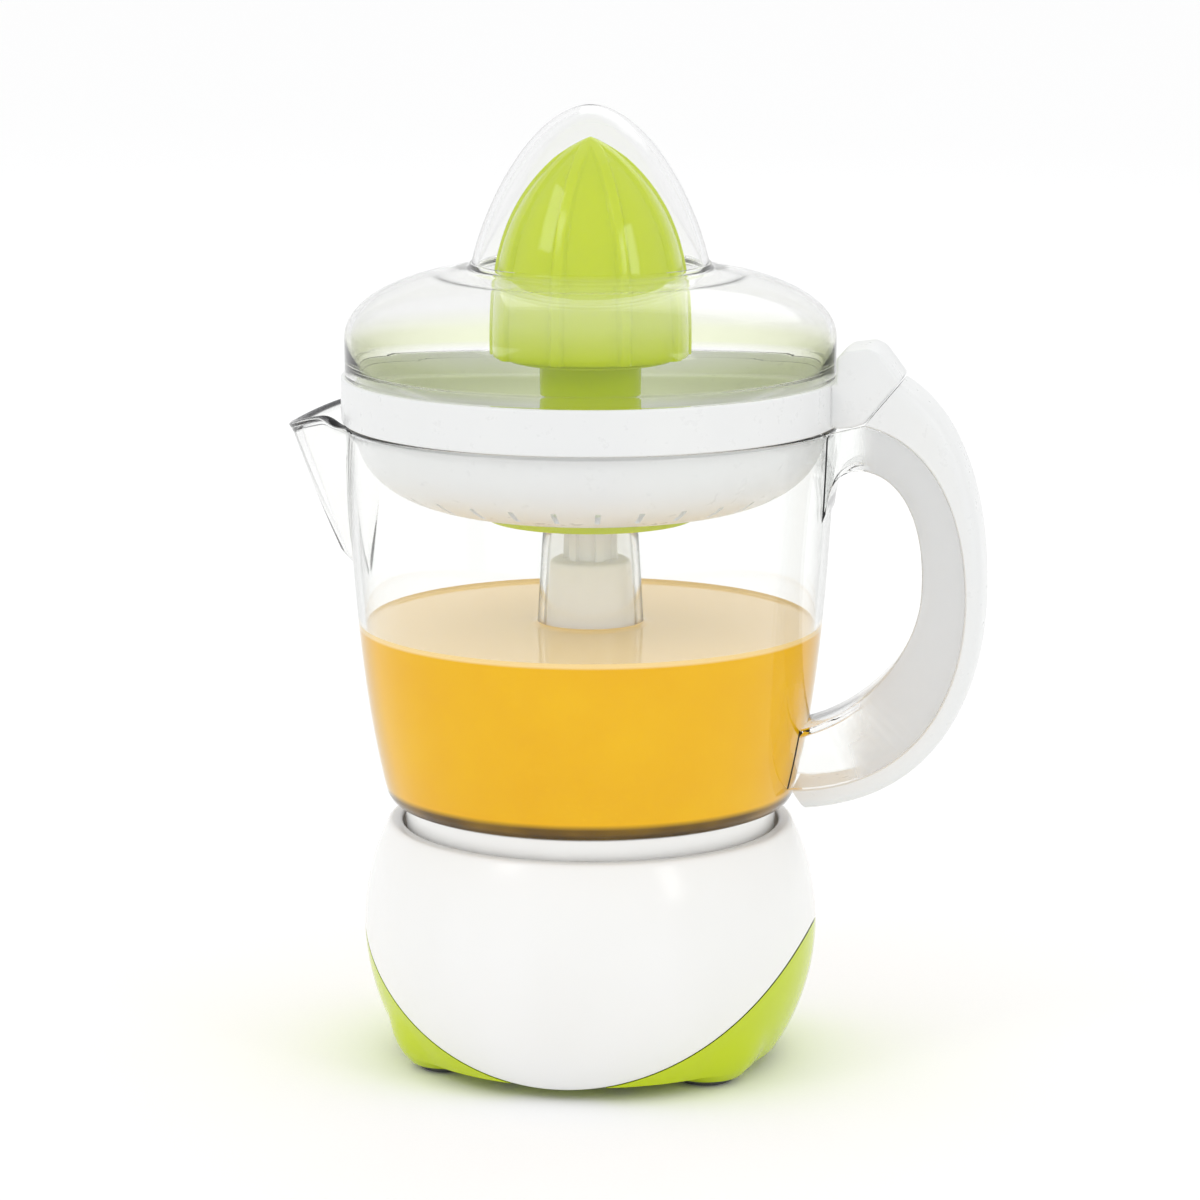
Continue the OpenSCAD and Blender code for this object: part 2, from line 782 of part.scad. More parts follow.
module jug() {
    color(clear_plastic) difference() {
        union() {
            jug_shell();
            ring(foot_ring_r, foot_ring_r - foot_ring_wall, foot_ring_z, jug_floor + 1);
            ring(jug_rim_r + 0.6, jug_rim_r - jug_wall, jug_rim_z - 1.6, jug_rim_z);
            translate([0, 0, jug_floor]) cylinder(
                r1 = tube_foot_r, r2 = tube_top_r, h = tube_top - jug_floor);
            difference() {
                spout_body(0);
                jug_bore();
            }
            difference() {
                grip_channel();
                jug_bore();
            }
        }
        difference() {
            spout_body(jug_wall);
            slab(0, 150);
        }
        translate([0, 0, jug_floor - eps]) cylinder(
            r1 = tube_foot_r - tube_wall, r2 = tube_top_r - tube_wall - 0.01,
            h = tube_top - jug_floor + 0.1);
        for (sy = [-1, 1]) translate([-key_w / 2 - 0.5, sy * (foot_ring_r - 1) - 3, 60])
            cube([key_w + 1, 6, deck_top + 4.2 - 60]);
    }
}
module handle_cover() {
    color(white_plastic) upright(handle_w) polygon(cat([
        grip_line(grip_out, grip_out_low, 9),
        flip(beside(seam_line(), 0.05))]));
}

// ================= strainer =================
function bowl_outer() = flip(curve(bowl_curve, 10));
function bowl_inner() = beside(bowl_outer(), bowl_wall);
module strainer() {
    color(white_plastic) difference() {
        union() {
            rotate_extrude($fn = 144) polygon(cat([
                [[hub_bore, bowl_floor]],
                bowl_outer(),
                [[bowl_top_r, band_z], [band_r - 0.4, band_z], [band_r, band_z + 0.4]],
                [[band_r, band_top - 0.5], [band_r - 0.5, band_top]],
                [[band_r - band_wall, band_top], [band_r - band_wall, band_z + 1.8]],
                [[bowl_top_r - bowl_wall, band_z + 1.2]],
                flip(bowl_inner()),
                [[hub_bore, bowl_floor + bowl_wall]]]));
            ring(hub_r, hub_bore, bowl_floor, hub_top);
            ring(skirt_r, skirt_in, skirt_z, bowl_floor + 1);
            for (a = [0, 120, 240]) rotate(a) intersection() {
                ring(skirt_r + 1, skirt_r - 0.5, skirt_z, skirt_z + 1.6);
                translate([10, -3, 150]) cube([10, 6, 20]);
            }
            strainer_tab();
        }
        for (i = [0 : slit_count - 1]) rotate(360 * (i + 0.5) / slit_count)
            translate([52, -0.6, bowl_floor - 1]) cube([6.2, 1.2, 12]);
        for (i = [0 : floor_slots - 1]) rotate(360 * i / floor_slots)
            translate([floor_slot_in, -0.8, bowl_floor - 1])
                cube([floor_slot_out - floor_slot_in, 1.6, 6]);
    }
}
module strainer_tab() {
    difference() {
        upright(handle_w) polygon([[band_r - 1.2, band_z + 1], [band_r - 1.2, 198.9],
            [71.2, 203], [71.6, 206.6], [74, 208.6], [80.5, 209.6], [83.6, 208.2],
            [89.5, 200.3], [79.6, 188.2], [76, 187], [72, band_z]]);
        disc(band_r - band_wall, 150, band_top);
        translate([0, 0, band_top]) cylinder(r = band_r + 0.2, h = 30);
    }
}
module pulp_ring() {
    color(green_plastic) difference() {
        union() {
            ring(ring_r, skirt_r + 0.4, ring_z, ring_top);
            ring(ring_r, ring_r - 2, ring_z - 2.4, ring_top);
            translate([-4, ring_r - 1, ring_z - 5]) cube([8, 2, 6]);
        }
        for (i = [0 : floor_slots - 1]) rotate(360 * i / floor_slots)
            translate([floor_slot_in, -1, ring_z - 1])
                cube([floor_slot_out - floor_slot_in - 0.4, 2, 4]);
    }
}

// ================= cones =================
module cone_bush() {
    color(acetal) {
        ring(hub_bore - 0.08, 8.3, 190, bush_flange_z + eps);
        ring(hub_r - 0.1, 8.3, bush_flange_z, core_z - 0.1);
    }
}
module fluted_cone(r, z0, z1, wall) {
    inner_tip = z1 - 2.6 * wall;
    difference() {
        union() {
            rotate_extrude() polygon(cat([[[0, z0]], ogive_points(r - ridge_h, z0, z1 - 0.6, 14)]));
            for (i = [0 : ridge_count - 1]) rotate(360 * (i + 0.5) / ridge_count)
                rotate([90, 0, 0]) linear_extrude(height = ridge_w, center = true)
                    polygon(cat([[[0, z0]], ogive_points(r, z0, z1, 14)]));
        }
        translate([0, 0, -eps]) rotate_extrude() polygon(cat([[[0, z0]],
            ogive_points(r - ridge_h - wall, z0, inner_tip, 12)]));
    }
}
module cone_core() {
    color(green_plastic) difference() {
        union() {
            fluted_cone(core_cone_r, core_cone_z + 1.5, core_tip, 1.8);
            disc(core_cone_r - 0.6, core_z + 0.2, core_cone_z + 2);
            disc(stem_r, core_z, core_cone_z);
            ring(stem_r, stem_in, stem_z, core_z + eps);
            disc(10.6, core_z, 228);
        }
        disc(6.6, core_z - 1, 225);
        intersection() {
            disc(spline_r + 0.3, core_z - 1, 225);
            for (i = [0 : spline_count - 1]) rotate(60 * i)
                translate([3, -spline_w / 2 - 0.3, core_z - 1]) cube([6, spline_w + 0.6, 60]);
        }
    }
}
module cone() {
    color(green_plastic) difference() {
        union() {
            fluted_cone(cone_r, cone_z, cone_tip, cone_wall);
            ring(cone_r - 1, core_cone_r + 0.6, cone_z, cone_z + 3);
        }
        disc(core_cone_r - 0.2, cone_z - 1, cone_z + 2);
    }
}

// ================= lid =================
function lid_outer() = cat([
    [[lid_skirt_r - 0.3, lid_z], [lid_skirt_r, lid_z + 0.4]],
    curve(lid_shoulder, 12),
    [[38, lid_neck_z + 1.3], [36.8, lid_neck_z + 2], [35.2, lid_neck_z + 2.2]],
    [for (i = [1 : 18]) let (s = sin(90 * i / 18))
        [dome_r * dome(s), lid_neck_z + (lid_top - lid_neck_z) * s]]]);
function lid_inner() = cat([
    [[lid_skirt_r - lid_wall, lid_z], [lid_skirt_r - lid_wall, 210]],
    [for (i = [1 : 11]) beside(curve(lid_shoulder, 12), lid_wall)[i]],
    [[35, lid_neck_z - 1.6]],
    [for (i = [1 : 18]) let (s = sin(90 * i / 18))
        [(dome_r - lid_wall) * dome(s), lid_neck_z + (lid_top - lid_wall - lid_neck_z) * s]]]);
module lid() {
    color(clear_plastic) {
        rotate_extrude($fn = 144) polygon(cat([lid_outer(), flip(lid_inner())]));
        ring(band_r - band_wall - 0.3, lid_plug_r, lid_z - 3, lid_z + 3);
    }
}

base_housing();
base_cover();
foot_pads();
cover_screws();
cord_gland();
terminal_block();
lead_wires();
gearbox_tray();
gearbox_cover();
gearbox_screws();
motor_can();
motor_plate();
motor_screws();
coil_bobbin();
coil_winding();
rotor_bushes();
rotor_magnet();
rotor_shaft();
rotor_pinion();
idler_pin();
idler_gear();
switch_body();
switch_plunger();
press_spring();
thrust_cup();
drive_gear();
drive_shaft();
shaft_bush();
shaft_seal();
spindle();
jug();
handle_cover();
strainer();
pulp_ring();
cone_bush();
cone_core();
cone();
lid();
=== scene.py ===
"""Citrus press juicer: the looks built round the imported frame.

Shapes are worked out in millimetres, in the frame's axes: the spin axis is Z, the
handle is on +X, the spout on -X. They are scaled to metres when a piece is finished.
"""

import json
import math

import bmesh
import bpy
import numpy as np
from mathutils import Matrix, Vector


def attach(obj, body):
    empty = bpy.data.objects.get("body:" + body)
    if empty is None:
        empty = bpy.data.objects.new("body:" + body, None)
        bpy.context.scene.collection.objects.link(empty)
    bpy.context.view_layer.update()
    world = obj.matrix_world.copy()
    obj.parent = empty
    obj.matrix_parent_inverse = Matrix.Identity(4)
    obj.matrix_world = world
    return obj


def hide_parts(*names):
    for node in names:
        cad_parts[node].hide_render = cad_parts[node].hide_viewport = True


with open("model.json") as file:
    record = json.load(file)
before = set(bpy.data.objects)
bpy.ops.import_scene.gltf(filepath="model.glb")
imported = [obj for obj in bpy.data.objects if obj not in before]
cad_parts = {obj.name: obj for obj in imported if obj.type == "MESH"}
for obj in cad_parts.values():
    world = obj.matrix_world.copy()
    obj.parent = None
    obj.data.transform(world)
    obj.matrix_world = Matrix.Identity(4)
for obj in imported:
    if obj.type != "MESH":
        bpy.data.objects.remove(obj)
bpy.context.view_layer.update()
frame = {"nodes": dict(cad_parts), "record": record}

# ---- sizes in millimetres ----
BALL_R, BALL_Z, SHELL = 65.4, 40.0, 2.5
ARCH_R, ARCH_Z, ARCH_GAP = 75.0, 78.5, 0.25
BASE_TOP, DECK_Z, DECK_TOP, RECESS_R = 70.0, 62.0, 64.5, 54.2
NECK_R, NECK_TOP = 9.5, 72.0
PLATE_Z, PLATE_TOP, FOOT_CUT = 4.5, 7.0, 2.0
FOOT_R, FOOT_Z, FOOT_BLEND = 15.5, 13.5, 3.2
FEET = [(sx * 37.74, sy * 24.51) for sx in (-1, 1) for sy in (-1, 1)]
BOSSES = [(sx * 17.0, sy * 42.2) for sx in (-1, 1) for sy in (-1, 1)]
EARS = [
    (far * math.cos(math.radians(turn)), far * math.sin(math.radians(turn)))
    for turn, far in ((25, 25.5), (-62, 25.5), (208, 38.0))
]
GLAND_Z = 20.0
JUG_FLOOR, JUG_RIM_R, JUG_RIM_Z, JUG_WALL = 76.0, 70.0, 186.0, 2.0
TUBE_FOOT_R, TUBE_TOP_R, TUBE_TOP, TUBE_WALL = 18.4, 13.5, 157.0, 1.8
FOOT_RING_R, FOOT_RING_Z = 53.4, 64.7
SPOUT_HALF, SPOUT_RISE, SPOUT_DIP = 23.5, 2.3, 2.5
SPOUT_ROOT, SPOUT_FOOT, SPOUT_HEIGHT, SPOUT_BLEND = 60.0, 138.0, 44.3, 7.0
SPOUT_START, SPOUT_STEP, SPOUT_REACH, SPOUT_OUT = 61.0, 7.0, 19.4, 18.5
HANDLE_W, CHANNEL_WALL = 22.0, 2.0
JUICE_Z = 127.3
BAND_R, BAND_Z, BAND_TOP, BAND_WALL = 71.0, 186.2, 199.0, 1.8
BOWL_R, BOWL_FLOOR, BOWL_WALL = 66.8, 162.2, 1.8
HUB_R, HUB_BORE = 11.5, 9.5
SKIRT_R, SKIRT_IN, SKIRT_Z = 16.5, 14.6, 156.6
SLITS, FLOOR_SLOTS = 30, 15
RING_R, RING_Z, RING_TOP = 30.0, 159.6, 161.6
RIDGES, RIDGE_H, RIDGE_W = 9, 1.2, 3.4
CONE_R, CONE_Z, CONE_TIP = 29.0, 204.6, 266.3
CORE_R, CORE_Z, CORE_TIP = 24.0, 206.5, 254.0
STEM_R, STEM_IN, STEM_Z, STEM_TOP = 14.5, 12.4, 167.6, 202.8
LID_R, LID_Z, LID_NECK, LID_TOP, LID_WALL = 69.9, 199.1, 229.0, 275.5, 1.8
DOME_R = 34.0

JUG_CURVE = [(58.8, 79), (64, 100), (68, 128), (JUG_RIM_R, JUG_RIM_Z)]
BOWL_CURVE = [(BOWL_R, 184), (66.5, 172), (56, 164.4), (43, BOWL_FLOOR)]
LID_SHOULDER = [(LID_R, 210), (LID_R, 217.5), (61, 225.5), (38.6, LID_NECK)]
GRIP_OUT = [(89.8, 200), (107, 190), (114, 165), (113.6, 138)]
GRIP_OUT_LOW = [(113.6, 138), (113.2, 108), (100, 80), (64, 76.5)]
GRIP_IN = [(79, 174.8), (91.5, 173.6), (97.8, 158), (96, 138)]
GRIP_IN_LOW = [(96, 138), (94, 121), (78, 103.4), (60, 99.4)]
GRIP_IN_TOP = [(69, 162), (69.7, 171.4), (73, 174.8), (79, 174.8)]
SEAM_OUT = [(79.6, 187.6), (101, 183), (108.6, 160), (108.6, 138)]
SEAM_OUT_LOW = [(108.6, 138), (108.6, 112), (96, 84), (60, 82.5)]


# ---- plane curves ----
def bezier(points, n):
    """n + 1 points along a cubic Bezier curve."""
    p = np.array(points, float)
    t = np.linspace(0, 1, n + 1)[:, None]
    return (
        (1 - t) ** 3 * p[0]
        + 3 * t * (1 - t) ** 2 * p[1]
        + 3 * t * t * (1 - t) * p[2]
        + t**3 * p[3]
    )


def corner(a, b, c, n=4):
    """A rounded corner from a to c that bends towards b."""
    a, b, c = (np.array(v, float) for v in (a, b, c))
    t = np.linspace(0, 1, n + 1)[:, None]
    return (1 - t) ** 2 * a + 2 * t * (1 - t) * b + t * t * c


def beside(points, d):
    """The curve moved sideways by d, to the left of its direction."""
    p = np.array(points, float)
    s = np.gradient(p, axis=0)
    s /= np.linalg.norm(s, axis=1)[:, None]
    return p + d * np.stack([-s[:, 1], s[:, 0]], axis=1)


def line(a, b, n):
    return np.linspace(np.array(a, float), np.array(b, float), n + 1)


def joined(*parts):
    return np.concatenate([np.array(p, float).reshape(-1, 2) for p in parts])


def ogive(s):
    """The cones' outline: radius, as a share, at a share of the height."""
    return np.maximum(0, 1 - s**3) ** 0.84


def dome(s):
    """The outline of the lid's dome, in the same way."""
    return np.maximum(0, 1 - s**1.3) ** 0.53


def tube_r(z):
    """Outer radius of the jug's centre tube."""
    share = (z - JUG_FLOOR) / (TUBE_TOP - JUG_FLOOR)
    return TUBE_FOOT_R + (TUBE_TOP_R - TUBE_FOOT_R) * share


def smooth_max(a, b, k):
    """The larger of two values, rounded over where they are within k of each other."""
    h = np.maximum(k - np.abs(a - b), 0) / k
    return np.maximum(a, b) + h * h * k / 4


def smooth_step(x):
    """0 below 0 and 1 above 1, with a smooth rise between."""
    x = np.clip(x, 0, 1)
    return x * x * (3 - 2 * x)


# ---- meshes, in millimetres ----
def new_object(name, verts, faces):
    mesh = bpy.data.meshes.new(name)
    mesh.from_pydata([tuple(v) for v in np.asarray(verts, float)], [], faces)
    bm = bmesh.new()
    bm.from_mesh(mesh)
    bmesh.ops.recalc_face_normals(bm, faces=bm.faces)
    bm.to_mesh(mesh)
    bm.free()
    ob = bpy.data.objects.new(name, mesh)
    bpy.context.scene.collection.objects.link(ob)
    return ob


def even(n):
    """n even angles round a circle."""
    return np.arange(n) * 2 * math.pi / n


def revolve(name, profile, angles):
    """A closed solid of revolution. profile is a list of (r, z), or a function of the
    angle that returns one. It is a loop, unless both of its ends are on the axis.
    angles is a list, or a number of even steps."""
    angles = even(angles) if np.isscalar(angles) else np.asarray(angles, float)
    if callable(profile):
        rows = np.stack([joined(profile(a)) for a in angles])
    else:
        rows = np.repeat(joined(profile)[None], len(angles), axis=0)
    on_axis = abs(rows[0, 0, 0]) < 1e-9 and abs(rows[0, -1, 0]) < 1e-9
    r, z = rows[..., 0], rows[..., 1]
    grid = np.stack([r * np.cos(angles)[:, None], r * np.sin(angles)[:, None], z], -1)
    n, m = r.shape
    if not on_axis:
        index = np.arange(n * m).reshape(n, m)
        return new_object(name, grid.reshape(-1, 3), quads(index, True))
    inner = grid[:, 1:-1]
    index = np.arange(n * (m - 2)).reshape(n, m - 2)
    poles = np.array([[0, 0, z[0, 0]], [0, 0, z[0, -1]]])
    first = n * (m - 2)
    faces = quads(index, False)
    for i in range(n):
        j = (i + 1) % n
        faces.append((first, int(index[j, 0]), int(index[i, 0])))
        faces.append((first + 1, int(index[i, -1]), int(index[j, -1])))
    return new_object(name, np.concatenate([inner.reshape(-1, 3), poles]), faces)


def quads(index, loop):
    """Faces of a grid that is closed along its first side, and along its second if loop."""
    a = index if loop else index[:, :-1]
    b = np.roll(index, -1, axis=1) if loop else index[:, 1:]
    a2, b2 = np.roll(a, -1, axis=0), np.roll(b, -1, axis=0)
    return np.stack([a, b, b2, a2], -1).reshape(-1, 4).tolist()


def swept(name, sections):
    """A solid through a row of closed sections with the same number of points."""
    grid = np.asarray(sections, float)
    n, m = grid.shape[:2]
    index = np.arange(n * m).reshape(n, m)
    nxt = np.roll(index, -1, axis=1)
    faces = np.stack([index[:-1], nxt[:-1], nxt[1:], index[1:]], -1).reshape(-1, 4).tolist()
    faces.append(index[0].tolist())
    faces.append(index[-1][::-1].tolist())
    return new_object(name, grid.reshape(-1, 3), faces)


def plate(name, outline, width):
    """An outline in the XZ plane made solid, width thick, middle on the plane."""
    p = np.array(outline, float)
    sides = [
        np.stack([p[:, 0], np.full(len(p), y), p[:, 1]], -1)
        for y in (-width / 2, width / 2)
    ]
    return swept(name, sides)


def box(x, y, z):
    outline = [(x[0], z[0]), (x[1], z[0]), (x[1], z[1]), (x[0], z[1])]
    ob = plate("box", outline, y[1] - y[0])
    return moved(ob, (0, (y[0] + y[1]) / 2, 0))


def rod(r, z0, z1, at=(0, 0), sides=48):
    ob = revolve("rod", [(0, z0), (r, z0), (r, z1), (0, z1)], sides)
    return moved(ob, (at[0], at[1], 0))


def moved(ob, by):
    for v in ob.data.vertices:
        v.co += Vector(by)
    return ob


def turned(ob, angle):
    """ob turned about the spin axis by an angle in degrees."""
    c, s = math.cos(math.radians(angle)), math.sin(math.radians(angle))
    for v in ob.data.vertices:
        v.co = Vector((c * v.co.x - s * v.co.y, s * v.co.x + c * v.co.y, v.co.z))
    return ob


def laid_on_y(ob, z):
    """A piece made round the Z axis, laid round a line along +Y at height z."""
    for v in ob.data.vertices:
        v.co = Vector((v.co.x, v.co.z, z - v.co.y))
    ob.data.update()
    return ob


def ball(r, at=(0, 0, BALL_Z), rings=96, sides=160):
    a = np.linspace(-90, 90, rings + 1) * math.pi / 180
    pts = np.stack([r * np.cos(a), r * np.sin(a)], -1)
    pts[0, 0] = pts[-1, 0] = 0
    return moved(revolve("ball", pts, sides), at)


def merged(objects):
    """Separate solids that don't touch, as one object."""
    verts, faces = [], []
    for ob in objects:
        start = len(verts)
        verts += [tuple(v.co) for v in ob.data.vertices]
        faces += [[start + i for i in p.vertices] for p in ob.data.polygons]
        bpy.data.objects.remove(ob)
    return new_object("merged", verts, faces)


def baked(ob):
    """ob with its modifiers applied."""
    graph = bpy.context.evaluated_depsgraph_get()
    mesh = bpy.data.meshes.new_from_object(ob.evaluated_get(graph))
    ob.modifiers.clear()
    ob.data = mesh
    return ob


def combine(ob, other, operation):
    """ob after a boolean with other, which is used up."""
    mod = ob.modifiers.new("combine", "BOOLEAN")
    mod.operation, mod.object, mod.solver = operation, other, "MANIFOLD"
    baked(ob)
    bpy.data.objects.remove(other)
    if len(ob.data.polygons) == 0:
        raise RuntimeError(f"{ob.name}: {operation} left nothing")
    return ob


def union(ob, *others):
    for other in others:
        combine(ob, other, "UNION")
    return ob


def cut(ob, *tools):
    for tool in tools:
        combine(ob, tool, "DIFFERENCE")
    return ob


def common(ob, other):
    return combine(ob, other, "INTERSECT")


def rounded(ob, width, segments=2, angle=40):
    mod = ob.modifiers.new("round", "BEVEL")
    mod.width, mod.segments, mod.limit_method = width, segments, "ANGLE"
    mod.angle_limit = math.radians(angle)
    return baked(ob)


def piece(ob, name, body, slot, material, *nodes, sharp=33):
    """A finished piece: in metres, smooth but for its sharp edges, riding on its body."""
    ob.name = ob.data.name = name
    bm = bmesh.new()
    bm.from_mesh(ob.data)
    bmesh.ops.remove_doubles(bm, verts=bm.verts, dist=0.004)
    bmesh.ops.dissolve_degenerate(bm, dist=0.002, edges=bm.edges)
    bmesh.ops.scale(bm, vec=(0.001, 0.001, 0.001), verts=bm.verts)
    bmesh.ops.recalc_face_normals(bm, faces=bm.faces)
    bm.to_mesh(ob.data)
    bm.free()
    ob.data.shade_smooth()
    ob.data.set_sharp_from_angle(angle=math.radians(sharp))
    ob.data.materials.clear()
    ob.data.materials.append(material)
    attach(ob, body)
    if nodes:
        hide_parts(*nodes)
    return ob


# ---- base ----
def arch_meets(radius, phi, arch):
    """Height where the arch meets a ball of that radius, on the half plane at phi."""
    c2 = math.cos(phi) ** 2
    a = 1 - c2
    b = 2 * BALL_Z * c2 - 2 * ARCH_Z
    c = c2 * (radius**2 - BALL_Z**2) + ARCH_Z**2 - arch**2
    return 2 * c / (-b + math.sqrt(b * b - 4 * a * c))


def on_ball(radius, z):
    """The point (r, z) on a ball about the centre of the base."""
    return (math.sqrt(radius**2 - (z - BALL_Z) ** 2), z)


def along_ball(radius, z0, z1, n):
    a = np.linspace(math.asin((z0 - BALL_Z) / radius), math.asin((z1 - BALL_Z) / radius), n + 1)
    return np.stack([radius * np.cos(a), BALL_Z + radius * np.sin(a)], -1)


def housing_profile(phi):
    inner_r = BALL_R - SHELL
    edge = arch_meets(BALL_R, phi, ARCH_R)
    above = BALL_Z + BALL_R * math.sin(math.asin((edge - BALL_Z) / BALL_R) + 0.5 / BALL_R)
    within = arch_meets(BALL_R - 0.5, phi, ARCH_R)
    lip = on_ball(BALL_R, 68.7)
    inner_edge = arch_meets(inner_r, phi, ARCH_R)
    return joined(
        corner(on_ball(BALL_R - 0.5, within), on_ball(BALL_R, edge), on_ball(BALL_R, above)),
        along_ball(BALL_R, above, lip[1], 44)[1:],
        corner(lip, on_ball(BALL_R, BASE_TOP), (57.0, BASE_TOP))[1:],
        corner((RECESS_R + 1.1, BASE_TOP), (RECESS_R, BASE_TOP), (RECESS_R, BASE_TOP - 1.1)),
        corner((RECESS_R, DECK_TOP + 1), (RECESS_R, DECK_TOP), (RECESS_R - 1, DECK_TOP)),
        line((46, DECK_TOP), (18, DECK_TOP), 3),
        corner((NECK_R + 1.2, DECK_TOP), (NECK_R, DECK_TOP), (NECK_R, DECK_TOP + 1.2)),
        corner((NECK_R, NECK_TOP - 0.6), (NECK_R, NECK_TOP), (NECK_R - 0.6, NECK_TOP)),
        [(7.0, NECK_TOP), (6.6, NECK_TOP - 0.4), (6.6, 66.5), (4.6, 66.5), (4.6, DECK_Z)],
        [(24, DECK_Z), (44, DECK_Z), (58.2, DECK_Z)],
        along_ball(inner_r, 61.2, inner_edge, 26),
    )


def build_base_housing():
    ob = revolve("housing", housing_profile, 224)
    keys = [box((-3, 3), (s * 52.2 - 2.2, s * 52.2 + 2.2), (DECK_TOP - 0.5, 68)) for s in (-1, 1)]
    ears = [rod(4.4, 58.2, DECK_Z + 0.5, at) for at in EARS]
    posts = [rod(4, 9.2, DECK_Z + 0.5, at, 32) for at in BOSSES]
    collar = laid_on_y(rod(9.5, 56.6, 64.4), GLAND_Z)
    union(ob, merged(posts + ears), merged([rounded(k, 0.5) for k in keys]), rounded(collar, 0.4))
    holes = [rod(1.65, 8, 24, at, 20) for at in BOSSES]
    holes += [rod(1.65, 57, 63.6, at, 20) for at in EARS]
    return cut(ob, merged(holes), laid_on_y(rod(6, 40, 80), GLAND_Z))


def lobed(radius):
    """The ball with its four feet swelling out of it, as one closed skin."""
    tilt = np.linspace(-90, 90, 181) * math.pi / 180
    turn = even(288)
    c, s = np.cos(tilt)[None, :], np.sin(tilt)[None, :]
    d = np.stack(
        [c * np.cos(turn)[:, None], c * np.sin(turn)[:, None], s + 0 * turn[:, None]], -1
    )
    reach = np.full(d.shape[:2], radius)
    for x, y in FEET:
        to = np.array([x, y, FOOT_Z - BALL_Z])
        b = d @ to
        inside = b * b - (to @ to - FOOT_R**2)
        foot = np.where(inside > 0, b + np.sqrt(np.maximum(inside, 0)), 0)
        reach = smooth_max(reach, foot, FOOT_BLEND)
    r, z = reach * c, BALL_Z + reach * s
    r[:, 0] = r[:, -1] = 0
    z[:, 0], z[:, -1] = z[:, 0].mean(), z[:, -1].mean()
    order = {round(a, 9): i for i, a in enumerate(turn)}
    return revolve(
        "lobed", lambda a: np.stack([r[order[round(a, 9)]], z[order[round(a, 9)]]], -1), turn
    )


def arch_solid(r):
    return laid_on_y(rod(r, -90, 90, sides=320), ARCH_Z)


def slab(z0, z1):
    return box((-100, 100), (-100, 100), (z0, z1))


def feet(r, cut_z):
    """Four balls at the feet, cut off flat at a height."""
    obs = [ball(r, (x, y, FOOT_Z), 48, 72) for x, y in FEET]
    return cut(merged(obs), slab(-30, cut_z))


def build_base_cover():
    inner = BALL_R - SHELL - 0.3
    skin = cut(lobed(BALL_R), slab(-60, PLATE_Z))
    union(skin, feet(FOOT_R, FOOT_CUT))
    cut(skin, arch_solid(ARCH_R + ARCH_GAP))
    rim = cut(ball(inner), slab(-60, PLATE_Z), arch_solid(ARCH_R - 4))
    floor = common(ball(inner), slab(PLATE_Z, PLATE_TOP))
    shoes = common(feet(FOOT_R, FOOT_CUT), ball(inner))
    union(skin, rim, floor, shoes)
    cut(skin, common(ball(inner - 1.8), slab(PLATE_TOP, 110)))
    hollow = common(ball(BALL_R - SHELL), slab(PLATE_TOP, 110))
    cut(skin, cut(hollow, arch_solid(ARCH_R + 4)))
    cut(skin, feet(FOOT_R - 2.2, FOOT_CUT + 3))
    cut(skin, merged([rod(8.1, -1, 3, at) for at in FEET]))
    cut(skin, merged([rod(2, -1, 30, at, 24) for at in BOSSES]))
    cut(skin, merged([rod(3.6, -1, PLATE_Z + 0.9, at, 32) for at in BOSSES]))
    vents = [box((i * 6 - 1.2, i * 6 + 1.2), (-14, 14), (0, 8)) for i in range(-3, 4)]
    return cut(skin, merged([rounded(v, 1.15, 4) for v in vents]))


# ---- jug ----
WALL_LINE = bezier(JUG_CURVE, 80)


def wall_r(z):
    """Outer radius of the jug's wall, without its spout."""
    return np.interp(z, WALL_LINE[:, 1], WALL_LINE[:, 0])


def spout_share(z):
    """How far up the spout a height is: 0 at its foot, 1 near its lip."""
    return np.maximum(z - SPOUT_FOOT, 0) / SPOUT_HEIGHT


def beak_r(turn, z, inset):
    """Distance from the axis to the spout's skin, at an angle from the spout's middle."""
    share = spout_share(z)
    reach = SPOUT_START + SPOUT_STEP * smooth_step(share / 0.2) + SPOUT_REACH * share**0.8
    reach = reach - 1.25 * inset
    half = np.maximum(SPOUT_HALF * share**0.7 - inset, 0.05)
    length = np.maximum(reach - SPOUT_ROOT, 0.05)
    turn = np.abs(turn)
    c, s = np.cos(turn), np.sin(turn)
    low, high = np.zeros(np.broadcast(turn, z).shape), np.full(np.broadcast(turn, z).shape, 130.0)
    for _ in range(36):
        t = (low + high) / 2
        u = np.maximum(t * c - SPOUT_ROOT, 0) / length
        outside = u**1.7 + (t * s / half) ** 1.7 > 1
        high = np.where(outside, t, high)
        low = np.where(outside, low, t)
    return np.where((c > 0) & (share > 0), low, 0)


def skin_r(turn, z, inset):
    """Radius of the jug's wall, with its spout, moved inwards by inset."""
    return smooth_max(wall_r(z) - inset, beak_r(turn, z, inset), SPOUT_BLEND)


def rim_height(turn):
    """The rim is level, swells a little beside the spout and dips to the spout's tip."""
    out = skin_r(turn, np.full(1, JUG_RIM_Z), 0) - JUG_RIM_R
    out = np.clip(out / SPOUT_OUT, 0, 1)
    swell = SPOUT_RISE * smooth_step((out - 0.14) / 0.22)
    dip = np.clip((out - 0.3) / 0.7, 0, 1) ** 1.4
    return JUG_RIM_Z + swell - (SPOUT_DIP + SPOUT_RISE) * dip


def jug_angles():
    """Angles round the jug, closer together at the spout."""
    steps = np.concatenate([np.full(40, 0.4), np.full(40, 0.8), np.full(96, 1.22)])
    half = np.cumsum(steps) * 180 / steps.sum()
    turn = np.concatenate([[0], half, -half[:-1][::-1]])
    return np.radians(180 + turn)


def wall_rows(low, top):
    """Heights up the jug's wall, closer together where the spout grows out of it."""
    near, far = SPOUT_FOOT - 2, SPOUT_FOOT + 30
    rows = [np.linspace(low, near, 18), np.linspace(near, far, 48), np.linspace(far, top, 16)]
    return np.unique(np.concatenate(rows))


